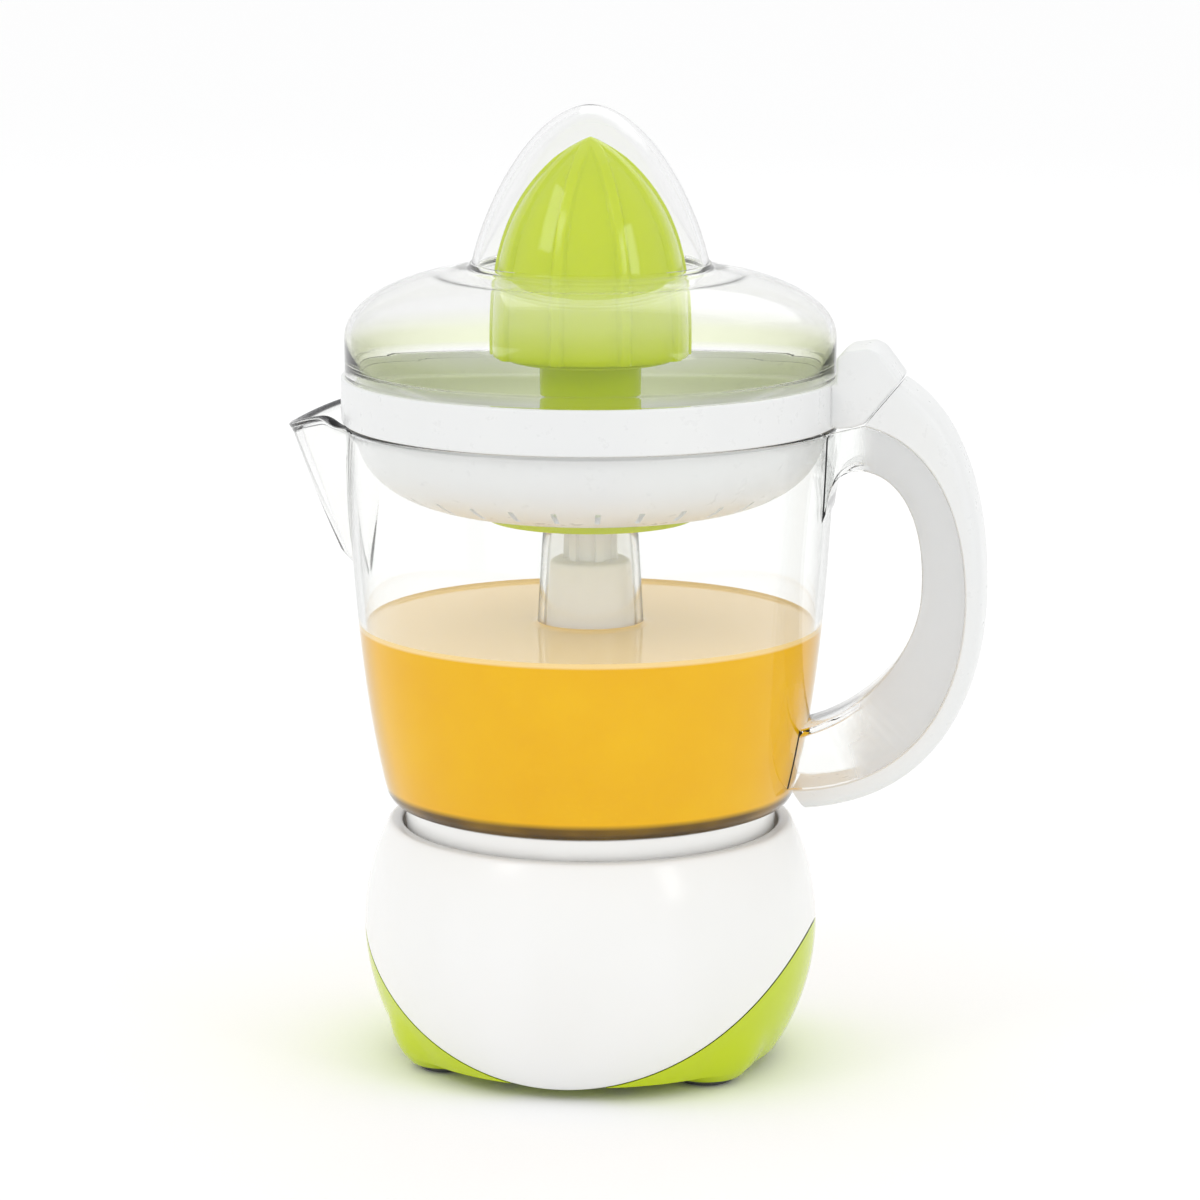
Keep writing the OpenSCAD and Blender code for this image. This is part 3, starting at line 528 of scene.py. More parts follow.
def jug_profile(phi):
    turn = phi % (2 * math.pi) - math.pi
    top = float(rim_height(turn)[0])
    z_in = wall_rows(81, top - 1.4)
    r_in = skin_r(turn, z_in, JUG_WALL)
    z_out = wall_rows(79, top - 1.2)[::-1]
    bead = 0.6 * smooth_step((z_out - (top - 2.4)) / 0.8)
    r_out = skin_r(turn, z_out, 0) + bead
    low, high = r_in[-1], r_out[0]
    a = np.linspace(math.pi, 0, 9)
    lip_r = (low + high) / 2 + (high - low) / 2 * np.cos(a)
    lip = np.stack([lip_r, top - 1.1 + 1.1 * np.sin(a)], -1)
    tube_z = np.linspace(77, TUBE_TOP - 0.8, 10)
    bore = np.stack([tube_r(tube_z) - TUBE_WALL, tube_z], -1)
    barrel_z = np.linspace(TUBE_TOP - 0.8, JUG_FLOOR + 3.4, 12)
    barrel = np.stack([tube_r(barrel_z), barrel_z], -1)
    crown = (float(tube_r(TUBE_TOP)) - TUBE_WALL / 2, TUBE_TOP)
    return joined(
        bore,
        corner(bore[-1], (bore[-1][0], TUBE_TOP), crown, 3)[1:],
        corner(crown, (barrel[0][0], TUBE_TOP), barrel[0], 3)[1:-1],
        barrel,
        corner(barrel[-1], (18.2, JUG_FLOOR + 2), (20.2, JUG_FLOOR + 2))[1:],
        [(30, JUG_FLOOR + 2), (42, JUG_FLOOR + 2), (53, JUG_FLOOR + 2)],
        corner((54.2, JUG_FLOOR + 2), (56.2, JUG_FLOOR + 2), (r_in[0] - 0.12, 80.4)),
        np.stack([r_in, z_in], -1),
        lip,
        np.stack([r_out, z_out], -1)[1:],
        corner((58.3, 78), (57.4, 76.1), (54.6, 75.8))[1:],
        corner((53.7, 75.5), (FOOT_RING_R, 75.3), (FOOT_RING_R, 74.8), 2),
        corner((FOOT_RING_R, 65.4), (FOOT_RING_R, FOOT_RING_Z), (52.7, FOOT_RING_Z), 3),
        corner((51.7, FOOT_RING_Z), (51, FOOT_RING_Z), (51, 65.4), 3),
        corner((51, 75.2), (51, JUG_FLOOR), (50.2, JUG_FLOOR), 3),
        [(40, JUG_FLOOR), (28, JUG_FLOOR)],
        corner((17.4, JUG_FLOOR), (16.6, JUG_FLOOR), bore[0], 3)[:-1],
    )


def channel_lines():
    """Matching points along the handle's inside line and along its seam."""
    inside = joined(
        line((65, 152), (69, 162), 4)[:-1],
        bezier(GRIP_IN_TOP, 9)[:-1],
        bezier(GRIP_IN, 20)[:-1],
        bezier(GRIP_IN_LOW, 24),
        [(55, 99.4)],
    )
    seam = joined(
        line((65, 184.7), (70, 185.1), 4)[:-1],
        line((70, 185.1), (79.6, 187.6), 9)[:-1],
        bezier(SEAM_OUT, 20)[:-1],
        bezier(SEAM_OUT_LOW, 24),
        [(55, 82.4)],
    )
    return inside, seam


def channel_section(inner, outer):
    """The U of the handle's channel, open towards the seam."""
    way = outer - inner
    depth = float(np.linalg.norm(way))
    way = way / depth
    h, w, f = HANDLE_W / 2, CHANNEL_WALL, 0.9
    half = joined(
        corner((h - w + 0.25, depth), (h - w, depth), (h - w, depth - 0.25), 1),
        corner((h - w, w + f), (h - w, w), (h - w - f, w), 3),
    )
    outside = joined(
        corner((h - f, 0), (h, 0), (h, f), 3),
        corner((h, depth - 0.25), (h, depth), (h - 0.25, depth), 1),
    )
    mirror = np.array([-1, 1])
    loop = joined(half, half[::-1] * mirror, outside[::-1] * mirror, outside)
    at = inner[None] + loop[:, 1:] * way[None]
    return np.stack([at[:, 0], loop[:, 0], at[:, 1]], -1)


def build_jug():
    ob = revolve("jug", jug_profile, jug_angles())
    inside, seam = channel_lines()
    grip = swept("grip", [channel_section(a, b) for a, b in zip(inside, seam)])
    z = np.linspace(60, 184, 60)
    r = wall_r(np.maximum(z, 79)) - 1 - 2.5 * smooth_step((84 - z) / 8)
    core = joined([(0, 60)], np.stack([r, z], -1), [(69, 186), (69, 230), (0, 230)])
    cut(grip, revolve("core", core, 288))
    union(ob, grip)
    notches = [box((-3.5, 3.5), (s * 52.4 - 3, s * 52.4 + 3), (60, 68.7)) for s in (-1, 1)]
    return jug_marked(cut(ob, merged(notches)))


def jug_marked(ob):
    """Marks on the jug's points: how much they are on the rim's edge, where the material paints a
    dark line of shade that stands for the rim's refraction, how frosted, and how much on the centre
    tube, which gets a painted dark outline of shade where it is seen edge on.
    """
    x, y, z = np.array([v.co for v in ob.data.vertices]).T
    r = np.hypot(x, y)
    # edge: where the material paints the rim a dark line, painted shade standing for the rim's
    # refraction.
    edge = smooth_step((z - rim_height(np.arctan2(-y, -x)) + 0.95) / 0.3)
    edge *= 0.5 + 0.5 * smooth_step((-x - 15) / 50)
    edge *= smooth_step((72.2 - x) / 2)
    grip = 0.62 * smooth_step((x - 76) / 7)
    tube = smooth_step((20 - r) / 2)
    foot = 0.88 * smooth_step((75.9 - z) / 0.6) * smooth_step((58 - r) / 2)
    frost = np.maximum.reduce([grip, 0.1 * tube, foot])
    for name, values in (("edge", edge), ("frost", frost), ("tube", tube)):
        mark = ob.data.attributes.new(name, "FLOAT", "POINT")
        mark.data.foreach_set("value", values.astype(np.float32))
    return ob


def build_handle_cover():
    seam = beside(joined(bezier(SEAM_OUT, 22)[:-1], bezier(SEAM_OUT_LOW, 30)), 0.05)
    grip = joined(bezier(GRIP_OUT, 22)[:-1], bezier(GRIP_OUT_LOW, 30))
    return swept("cover", [cover_section(a, b) for a, b in zip(seam, grip)])


def cover_section(inner, outer):
    """A section of the grip cover: flat on the seam, rounded and crowned outside."""
    way = outer - inner
    depth = float(np.linalg.norm(way))
    way = way / depth
    h, f = HANDLE_W / 2, 3.6
    crown = 0.7
    side = corner((h, depth - crown - f), (h, depth - crown), (h - f, depth - crown * 0.5), 6)
    top = [(y, depth - crown * (y / h) ** 2) for y in np.linspace(h - f - 1.2, 0, 4)]
    half = joined([(h - 0.4, 0), (h, 0.4)], side, top)
    mirror = np.array([-1, 1])
    loop = joined(half, half[:-1][::-1] * mirror)
    at = inner[None] + loop[:, 1:] * way[None]
    return np.stack([at[:, 0], loop[:, 0], at[:, 1]], -1)


def build_juice():
    """The juice, with a small meniscus where it meets the jug and the tube."""
    z = np.linspace(81, JUICE_Z + 0.9, 26)
    wall = np.stack([wall_r(z) - JUG_WALL + 0.1, z], -1)
    tube_z = np.linspace(JUICE_Z + 0.8, JUG_FLOOR + 3.4, 10)
    tube = np.stack([tube_r(tube_z) - 0.1, tube_z], -1)
    edge = float(wall[-1][0])
    return revolve(
        "juice",
        joined(
            [(20.2, JUG_FLOOR + 1.9), (36, JUG_FLOOR + 1.9), (53, JUG_FLOOR + 1.9)],
            corner((54.2, JUG_FLOOR + 1.9), (56.3, JUG_FLOOR + 1.9), (wall[0][0] - 0.1, 80.4)),
            wall,
            corner((edge - 0.5, JUICE_Z + 0.25), (edge - 0.9, JUICE_Z), (edge - 2.2, JUICE_Z)),
            line((edge - 6, JUICE_Z), (22, JUICE_Z), 8),
            corner((18.2, JUICE_Z), (16.3, JUICE_Z), (tube[0][0] + 0.3, JUICE_Z + 0.4)),
            tube,
            corner(tube[-1], (18.3, JUG_FLOOR + 1.9), (20.2, JUG_FLOOR + 1.9))[1:-1],
        ),
        240,
    )


# ---- spindle ----
def spindle_r(z):
    return tube_r(z) - TUBE_WALL - 0.8


def spindle_profile(phi):
    turn = math.degrees(phi) % 60
    off = min(turn, 60 - turn)
    lug = 7.8 if off <= 8.5 else 6.2
    tip = 215 if off <= 8.5 else 216.5
    z = np.linspace(68.4, 144.6, 12)
    outside = np.stack([spindle_r(z), z], -1)
    z_in = np.linspace(140, 68, 8)
    inside = np.stack([spindle_r(z_in) - 2.2, z_in], -1)
    return joined(
        [(0, 140)],
        inside,
        corner(inside[-1], (spindle_r(68) - 1, 67.8), outside[0], 2)[1:],
        outside[1:],
        corner(outside[-1], (spindle_r(146), 146), (spindle_r(146) - 1.4, 146))[1:],
        [(lug + 0.6, 146)],
        corner((lug + 0.5, 146), (lug, 146), (lug, 146.5), 2),
        [(lug, 170), (lug, 195), (lug, tip)],
        [(lug - 0.7, tip + 0.7), (4.8, 217.6), (4.2, 218), (0, 218)],
    )


def build_spindle():
    step = np.radians(np.array([0, 4, 8.4, 8.6, 14, 20, 26, 32, 38, 44, 51.4, 51.6, 56]))
    angles = np.concatenate([step + k * math.pi / 3 for k in range(6)])
    ob = revolve("spindle", spindle_profile, angles)
    socket = rod(6.8, 75, 142)
    ribs = union(box((-20, 20), (-0.9, 0.9), (75, 141)), box((-0.9, 0.9), (-20, 20), (75, 141)))
    z = np.linspace(75, 141, 4)
    inner = joined([(0, 75)], np.stack([spindle_r(z) - 1.1, z], -1), [(0, 141)])
    union(ob, union(socket, common(ribs, revolve("inner", inner, 96))))
    shaft = cut(rod(4.05, 60, 96.5), box((3.15, 9), (-5, 5), (78.3, 120)))
    return cut(ob, shaft)


# ---- strainer ----
def build_strainer():
    outer = bezier(BOWL_CURVE, 26)[::-1]
    inner = beside(outer, BOWL_WALL)
    lip = BAND_R - BAND_WALL
    ob = revolve(
        "strainer",
        joined(
            line((HUB_BORE, BOWL_FLOOR), (42, BOWL_FLOOR), 6),
            outer,
            corner((BOWL_R, BAND_Z - 0.8), (BOWL_R, BAND_Z), (BOWL_R + 0.8, BAND_Z), 3),
            corner((BAND_R - 0.9, BAND_Z), (BAND_R, BAND_Z), (BAND_R, BAND_Z + 0.9)),
            line((BAND_R, BAND_Z + 4), (BAND_R, BAND_TOP - 4), 2),
            corner((BAND_R, BAND_TOP - 0.7), (BAND_R, BAND_TOP), (BAND_R - 0.7, BAND_TOP)),
            corner((lip + 0.5, BAND_TOP), (lip, BAND_TOP), (lip, BAND_TOP - 0.5), 2),
            corner((lip, BAND_Z + 2.6), (lip, BAND_Z + 1.8), (lip - 0.8, BAND_Z + 1.7)),
            corner((BOWL_R - 1.2, BAND_Z + 1.4), (65, BAND_Z + 1.2), (65, BAND_Z - 0.4), 3),
            inner[::-1],
            line((40, BOWL_FLOOR + 1.8), (HUB_R + 0.8, BOWL_FLOOR + 1.8), 5),
            corner((HUB_R + 0.6, 164), (HUB_R, 164), (HUB_R, 164.8), 2),
            [(HUB_R, 180)],
            corner((HUB_R, 198.6), (HUB_R, 199), (HUB_R - 0.4, 199), 2),
            corner((HUB_BORE + 0.4, 199), (HUB_BORE, 199), (HUB_BORE, 198.6), 2),
            [(HUB_BORE, 180)],
        ),
        240,
    )
    skirt = revolve(
        "skirt",
        joined(
            corner((SKIRT_IN, SKIRT_Z + 0.5), (SKIRT_IN, SKIRT_Z), (SKIRT_IN + 0.5, SKIRT_Z), 2),
            corner((SKIRT_R - 0.5, SKIRT_Z), (SKIRT_R, SKIRT_Z), (SKIRT_R, SKIRT_Z + 0.5), 2),
            [(SKIRT_R, 163), (SKIRT_IN, 163)],
        ),
        96,
    )
    lugs = merged(
        [turned(rounded(box((15.8, 17.5), (-3, 3), (156.7, 158.2)), 0.3), a) for a in (0, 120, 240)]
    )
    union(ob, skirt, lugs, strainer_tab())
    slits = [
        turned(rounded(box((52, 58.6), (-0.75, 0.75), (161, 174)), 0.25), 360 * (i + 0.5) / SLITS)
        for i in range(SLITS)
    ]
    slots = [
        turned(rounded(box((19, 27.5), (-0.8, 0.8), (161, 168)), 0.5, 3), 360 * i / FLOOR_SLOTS)
        for i in range(FLOOR_SLOTS)
    ]
    return cut(ob, merged(slits + slots))


def strainer_tab():
    """The thumb tab that reaches over the top of the handle."""
    outline = [
        (69.9, 187.4),
        (69.9, 198.8),
        (71.5, 199.3),
        (71.6, 206.6),
        (74, 208.6),
        (80.5, 209.6),
        (83.6, 208.2),
        (89.5, 200.3),
        (79.6, 188.2),
        (76, 187),
        (72, 186.6),
    ]
    return rounded(plate("tab", outline, HANDLE_W), 0.9, 3, 25)


def build_pulp_ring():
    ob = revolve(
        "ring",
        joined(
            corner((17.3, RING_Z), (16.9, RING_Z), (16.9, RING_Z + 0.4), 2),
            corner((16.9, RING_TOP - 0.3), (16.9, RING_TOP), (17.2, RING_TOP), 2),
            [(24, RING_TOP)],
            corner((29.3, RING_TOP), (RING_R, RING_TOP), (RING_R, RING_TOP - 0.7)),
            corner((RING_R, 158.5), (RING_R, 158), (29.5, 158), 3),
            corner((28.5, 158), (28, 158), (28, 158.4), 2),
            corner((28, 159), (28, RING_Z), (27.4, RING_Z), 2),
            [(22, RING_Z)],
        ),
        192,
    )
    union(ob, rounded(box((-4, 4), (29, 31), (154.6, 160.6)), 0.5, 3))
    slots = [
        turned(rounded(box((19, 27.1), (-1, 1), (158, 163)), 0.5, 3), 360 * i / FLOOR_SLOTS)
        for i in range(FLOOR_SLOTS)
    ]
    return cut(ob, merged(slots))


# ---- cones ----
def ridge(phi, r):
    """Height of the cone's ridges above its flutes."""
    step = 2 * math.pi / RIDGES
    off = abs((phi + step) % step - step / 2)
    side = r * np.sin(off)
    top = smooth_step((RIDGE_W / 2 + 0.5 - side) / 1.1)
    return RIDGE_H * top * np.clip(r / 9, 0, 1)


def cone_skin(phi, radius, z0, tip, n=64):
    """The fluted flank from its tip down to its foot."""
    s = np.sin(np.linspace(math.pi / 2, 0, n + 1))
    r = (radius - RIDGE_H) * ogive(s)
    r[0] = 0
    out = r + ridge(phi, r)
    out[0] = 0
    return np.stack([out, z0 + (tip - z0) * s], -1)


def cone_profile(phi):
    s = np.sin(np.linspace(0, math.pi / 2, 25))
    inner_r = (CONE_R - RIDGE_H - 2) * ogive(s)
    inner_r[-1] = 0
    inner = np.stack([inner_r, CONE_Z + (CONE_TIP - 5.2 - CONE_Z) * s], -1)
    inner = inner[inner[:, 1] > CONE_Z + 3.2]
    skin = cone_skin(phi, CONE_R, CONE_Z + 0.5, CONE_TIP)
    foot = float(skin[-1][0])
    return joined(
        skin,
        [(foot - 0.25, CONE_Z + 0.08), (foot - 0.7, CONE_Z)],
        [(25.1, CONE_Z), (24.6, CONE_Z + 0.4), (24.6, CONE_Z + 3)],
        inner,
    )


def core_profile(phi):
    turn = math.degrees(phi) % 60
    off = min(turn, 60 - turn)
    bore = 8.1 if off <= 11 else 6.6
    skin = cone_skin(phi, CORE_R, CORE_Z, CORE_TIP, 44)
    return joined(
        skin,
        [(23.4, 206), (23.4, 203.5), (22.9, 203)],
        corner((STEM_R + 1, 203), (STEM_R, 203), (STEM_R, 202), 3),
        [(STEM_R, 190), (STEM_R, 178)],
        corner((STEM_R, STEM_Z + 0.6), (STEM_R, STEM_Z), (STEM_R - 0.6, STEM_Z), 3),
        corner((STEM_IN + 0.5, STEM_Z), (STEM_IN, STEM_Z), (STEM_IN, STEM_Z + 0.5), 2),
        [(STEM_IN, 185), (STEM_IN, STEM_TOP), (bore + 0.4, STEM_TOP), (bore, STEM_TOP + 0.4)],
        [(bore, 214), (bore, 225), (0, 225)],
    )


def build_cone():
    return revolve("cone", cone_profile, 405)


def build_core():
    step = np.radians(
        np.array([0, 3.5, 7, 10.9, 11.1, 15, 19, 23, 27, 31, 35, 39, 43, 48.9, 49.1, 53, 56.5])
    )
    fine = np.concatenate([step + k * math.pi / 3 for k in range(6)])
    return revolve("core", core_profile, np.unique(np.round(np.concatenate([fine, even(216)]), 6)))


# ---- lid ----
def build_lid():
    shoulder = bezier(LID_SHOULDER, 34)
    s = np.sin(np.linspace(0.045, math.pi / 2, 48))
    out = np.stack([DOME_R * dome(s), LID_NECK + (LID_TOP - LID_NECK) * s], -1)
    inn_top = LID_TOP - LID_WALL
    s = np.sin(np.linspace(0, math.pi / 2, 44))
    inn = np.stack([(DOME_R - LID_WALL) * dome(s), LID_NECK + (inn_top - LID_NECK) * s], -1)
    out[-1, 0] = inn[-1, 0] = 0
    under = beside(shoulder, LID_WALL)[:-3]
    rim = LID_R - LID_WALL
    return revolve(
        "lid",
        joined(
            out[::-1],
            corner((34.2, 231), (34.5, 229.5), (36.6, 229.4), 5),
            shoulder[:-1][::-1],
            corner((LID_R, LID_Z + 0.5), (LID_R, LID_Z), (LID_R - 0.5, LID_Z), 3),
            corner((69.2, LID_Z), (68.9, LID_Z), (68.9, LID_Z - 0.3), 2),
            corner((68.9, 196.6), (68.9, 196.1), (68.4, 196.1), 3),
            corner((67.7, 196.1), (67.2, 196.1), (67.2, 196.6), 3),
            corner((67.2, 201.4), (67.3, 202), (67.8, 202.4), 3),
            [(rim, 203)],
            under,
            corner((37.0, 227.0), (34, 227.7), (32.3, 228.8), 3),
            inn[1:],
        ),
        256,
    )


# ---- procedural materials ----
def shader(name):
    mat = bpy.data.materials.new(name)
    mat.use_nodes = True
    nt = mat.node_tree
    coords = nt.nodes.new("ShaderNodeTexCoord").outputs["Object"]
    return mat, nt, nt.nodes["Principled BSDF"], coords


def noise(nt, at, scale, detail, rough=0.55):
    """Noise with a given number of cells per metre."""
    n = nt.nodes.new("ShaderNodeTexNoise")
    n.inputs["Scale"].default_value = scale
    n.inputs["Detail"].default_value = detail
    n.inputs["Roughness"].default_value = rough
    nt.links.new(at, n.inputs["Vector"])
    return n.outputs["Fac"]


def spread(nt, value, low, high, start=0.3, end=0.7):
    """A value that runs from start to end, made to run from low to high."""
    n = nt.nodes.new("ShaderNodeMapRange")
    nt.links.new(value, n.inputs["Value"])
    for key, number in (("From Min", start), ("From Max", end), ("To Min", low), ("To Max", high)):
        n.inputs[key].default_value = number
    return n.outputs["Result"]


def blend(nt, factor, a, b):
    n = nt.nodes.new("ShaderNodeMix")
    n.data_type = "RGBA"
    nt.links.new(factor, n.inputs["Factor"])
    for key, colour in (("A", a), ("B", b)):
        socket = [s for s in n.inputs if s.name == key and s.type == "RGBA"][0]
        if isinstance(colour, bpy.types.NodeSocket):
            nt.links.new(colour, socket)
        else:
            socket.default_value = (*colour, 1)
    return [s for s in n.outputs if s.type == "RGBA"][0]


def bump(nt, bsdf, height, distance, strength):
    n = nt.nodes.new("ShaderNodeBump")
    n.inputs["Strength"].default_value = strength
    n.inputs["Distance"].default_value = distance
    nt.links.new(height, n.inputs["Height"])
    nt.links.new(n.outputs["Normal"], bsdf.inputs["Normal"])


def stretched(nt, at, scale):
    """Coordinates scaled along each axis, to draw a pattern out."""
    n = nt.nodes.new("ShaderNodeMapping")
    n.inputs["Scale"].default_value = scale
    nt.links.new(at, n.inputs["Vector"])
    return n.outputs["Vector"]


def srgb(*values):
    """A screen colour, 0 to 255, as the linear colour that the shaders take."""
    return tuple(
        v / 255 / 12.92 if v <= 10 else ((v / 255 + 0.055) / 1.055) ** 2.4 for v in values
    )


def plastic(name, colour, shade, rough, peel=6e-6, grain=900, soft=0.0):
    """Moulded plastic: slight flow shading, an orange-peel skin and fine scuffs."""
    mat, nt, bsdf, at = shader(name)
    flow = noise(nt, stretched(nt, at, (1, 1, 0.35)), 26, 2)
    nt.links.new(blend(nt, spread(nt, flow, 0, 1), colour, shade), bsdf.inputs["Base Color"])
    scuff = noise(nt, at, 210, 6, 0.7)
    nt.links.new(spread(nt, scuff, rough * 0.8, rough * 1.35), bsdf.inputs["Roughness"])
    bump(nt, bsdf, noise(nt, at, grain, 2), peel, 0.6)
    bsdf.inputs["IOR"].default_value = 1.5
    if soft:
        bsdf.inputs["Subsurface Weight"].default_value = soft
        bsdf.inputs["Subsurface Radius"].default_value = (0.004, 0.004, 0.003)
        bsdf.inputs["Subsurface Scale"].default_value = 1.0
    return mat


def height_mask(nt, at, low, high, axis="Z"):
    """0 below the first height and 1 above the second, in millimetres."""
    part = nt.nodes.new("ShaderNodeSeparateXYZ")
    nt.links.new(at, part.inputs["Vector"])
    return spread(nt, part.outputs[axis], 0, 1, low / 1000, high / 1000)


def sums(nt, operation, a, b):
    """A Math node on two sockets or numbers."""
    n = nt.nodes.new("ShaderNodeMath")
    n.operation = operation
    for socket, value in zip(n.inputs, (a, b)):
        if isinstance(value, bpy.types.NodeSocket):
            nt.links.new(value, socket)
        else:
            socket.default_value = value
    return n.outputs["Value"]


def grazing(nt, start, end):
    """1 where a surface is seen edge on, 0 where it is seen from nearer its front."""
    n = nt.nodes.new("ShaderNodeLayerWeight")
    n.inputs["Blend"].default_value = 0.5
    return spread(nt, n.outputs["Facing"], 0, 1, start, end)


def light_passes(mat, tint):
    """Light on its way to other parts goes straight through. The eye sees the shader."""
    nt = mat.node_tree
    path = nt.nodes.new("ShaderNodeLightPath").outputs
    air = nt.nodes.new("ShaderNodeBsdfTransparent")
    air.inputs["Color"].default_value = (*tint, 1)
    mix = nt.nodes.new("ShaderNodeMixShader")
    either = sums(nt, "MAXIMUM", path["Is Shadow Ray"], path["Is Diffuse Ray"])
    nt.links.new(either, mix.inputs["Fac"])
    nt.links.new(nt.nodes["Principled BSDF"].outputs["BSDF"], mix.inputs[1])
    nt.links.new(air.outputs["BSDF"], mix.inputs[2])
    nt.links.new(mix.outputs["Shader"], nt.nodes["Material Output"].inputs["Surface"])


def clear_plastic(name, colour, shade, edge, ior):
    """Clear moulded plastic with a faint waviness and a few handling marks, and a tint painted
    darker where it is seen edge on, which is painted shade.
    """
    mat, nt, bsdf, at = shader(name)
    tone = noise(nt, at, 14, 2)
    tint = blend(nt, spread(nt, tone, 0, 1), colour, shade)
    # Painted shade: the tint runs to the edge colour where the surface is seen edge on.
    tint = blend(nt, grazing(nt, 0.66, 1.0), tint, edge)
    nt.links.new(tint, bsdf.inputs["Base Color"])
    marks = noise(nt, stretched(nt, at, (1, 1, 0.2)), 320, 5, 0.75)
    nt.links.new(spread(nt, marks, 0.012, 0.05, 0.45, 0.8), bsdf.inputs["Roughness"])
    bump(nt, bsdf, noise(nt, at, 34, 1), 3e-5, 0.5)
    bsdf.inputs["Transmission Weight"].default_value = 1.0
    bsdf.inputs["IOR"].default_value = ior
    light_passes(mat, (0.99, 0.99, 0.99))
    return mat, nt, bsdf, at, tint


def jug_material():
    """Clear, with a frosted handle and foot ring. The handle's frost is painted grey, painted shade
    of the thick clear handle; the rim's edge gets a dark line of painted shade, and the centre tube
    a dark outline of painted shade where it is seen edge on.
    """
    mat, nt, bsdf, at, tint = clear_plastic(
        "clear_san", srgb(253, 253, 252), srgb(251, 252, 251), srgb(150, 152, 148), 1.42
    )
    frost = marked(nt, "frost")
    nt.links.new(sums(nt, "SUBTRACT", 1.0, frost), bsdf.inputs["Transmission Weight"])
    # Painted shade: the frost is white on the foot ring and grey on the handle, the grey standing
    # for the shade of the thick clear handle.
    frost_colour_painted_grey = blend(nt, height_mask(nt, at, 60, 76, "X"), srgb(254, 254, 252), srgb(200, 201, 202))
    frosted = blend(nt, frost, tint, frost_colour_painted_grey)
    # Painted shade: a dark outline on the centre tube where it is seen edge on.
    outline = sums(nt, "MULTIPLY", marked(nt, "tube"), grazing(nt, 0.62, 0.8))
    tube_painted_outline_tint = blend(nt, outline, frosted, srgb(96, 98, 84))
    # Painted shade: a dark line along the rim's edge, standing for its refraction.
    dark = blend(nt, marked(nt, "edge"), tube_painted_outline_tint, srgb(22, 22, 24))
    nt.links.new(dark, bsdf.inputs["Base Color"])
    return mat


def marked(nt, name):
    """A mark that jug_marked left on the points."""
    n = nt.nodes.new("ShaderNodeAttribute")
    n.attribute_name = name
    return n.outputs["Fac"]


def lid_material():
    """Clear: milky on the shoulder, and olive on the skirt; the olive is darker where the skirt is
    seen edge on, which is painted shade.
    """
    mat, nt, bsdf, at, tint = clear_plastic(
        "clear_polystyrene", srgb(252, 252, 252), srgb(250, 250, 250), srgb(236, 236, 235), 1.32
    )
    shoulder = sums(nt, "MULTIPLY", height_mask(nt, at, 212, 220), height_mask(nt, at, 231, 228))
    milk = sums(nt, "MULTIPLY", shoulder, 0.06)
    nt.links.new(sums(nt, "SUBTRACT", 1.0, milk), bsdf.inputs["Transmission Weight"])
    skirt = sums(nt, "MULTIPLY", height_mask(nt, at, 214, 207), height_mask(nt, at, 200, 203))
    # Painted shade: the skirt's olive is darker where it is seen edge on.
    olive = blend(nt, grazing(nt, 0.12, 0.6), srgb(240, 245, 212), srgb(202, 205, 177))
    skirt_tint_and_edge_shade = blend(nt, skirt, tint, olive)
    nt.links.new(skirt_tint_and_edge_shade, bsdf.inputs["Base Color"])
    return mat


def metal(name, colour, shade, rough, along=(1, 1, 1)):
    """Plated or turned metal with a fine grain, which can be drawn out along an axis."""
    mat, nt, bsdf, at = shader(name)
    lines = noise(nt, stretched(nt, at, along), 1400, 3)
    patch = noise(nt, at, 60, 4)
    nt.links.new(blend(nt, spread(nt, patch, 0, 1), colour, shade), bsdf.inputs["Base Color"])
    nt.links.new(spread(nt, lines, rough * 0.7, rough * 1.5), bsdf.inputs["Roughness"])
    bump(nt, bsdf, lines, 4e-6, 0.5)
    bsdf.inputs["Metallic"].default_value = 1.0
    return mat


def matt(name, colour, shade, rough, grain=2200, depth=2.5e-5):
    """Rubber, textured plastic and sintered ferrite."""
    mat, nt, bsdf, at = shader(name)
    dust = noise(nt, at, 300, 6, 0.7)
    nt.links.new(blend(nt, spread(nt, dust, 0, 1), colour, shade), bsdf.inputs["Base Color"])
    nt.links.new(spread(nt, dust, rough * 0.9, min(1, rough * 1.15)), bsdf.inputs["Roughness"])
    bump(nt, bsdf, noise(nt, at, grain, 3), depth, 0.7)
    return mat


def winding(name):
    """Turns of enamelled wire laid side by side."""
    mat, nt, bsdf, at = shader(name)
    wave = nt.nodes.new("ShaderNodeTexWave")
    wave.bands_direction = "Z"
    wave.inputs["Scale"].default_value = 520
    wave.inputs["Distortion"].default_value = 0.6
    wave.inputs["Detail Scale"].default_value = 60
    nt.links.new(at, wave.inputs["Vector"])
    turns = wave.outputs["Fac"]
    colour = blend(nt, spread(nt, turns, 0, 1), srgb(120, 52, 22), srgb(206, 116, 66))
    nt.links.new(colour, bsdf.inputs["Base Color"])
    nt.links.new(spread(nt, turns, 0.42, 0.24), bsdf.inputs["Roughness"])
    bump(nt, bsdf, turns, 1.2e-4, 0.9)
    bsdf.inputs["Metallic"].default_value = 0.85
    bsdf.inputs["Coat Weight"].default_value = 0.5
    return mat


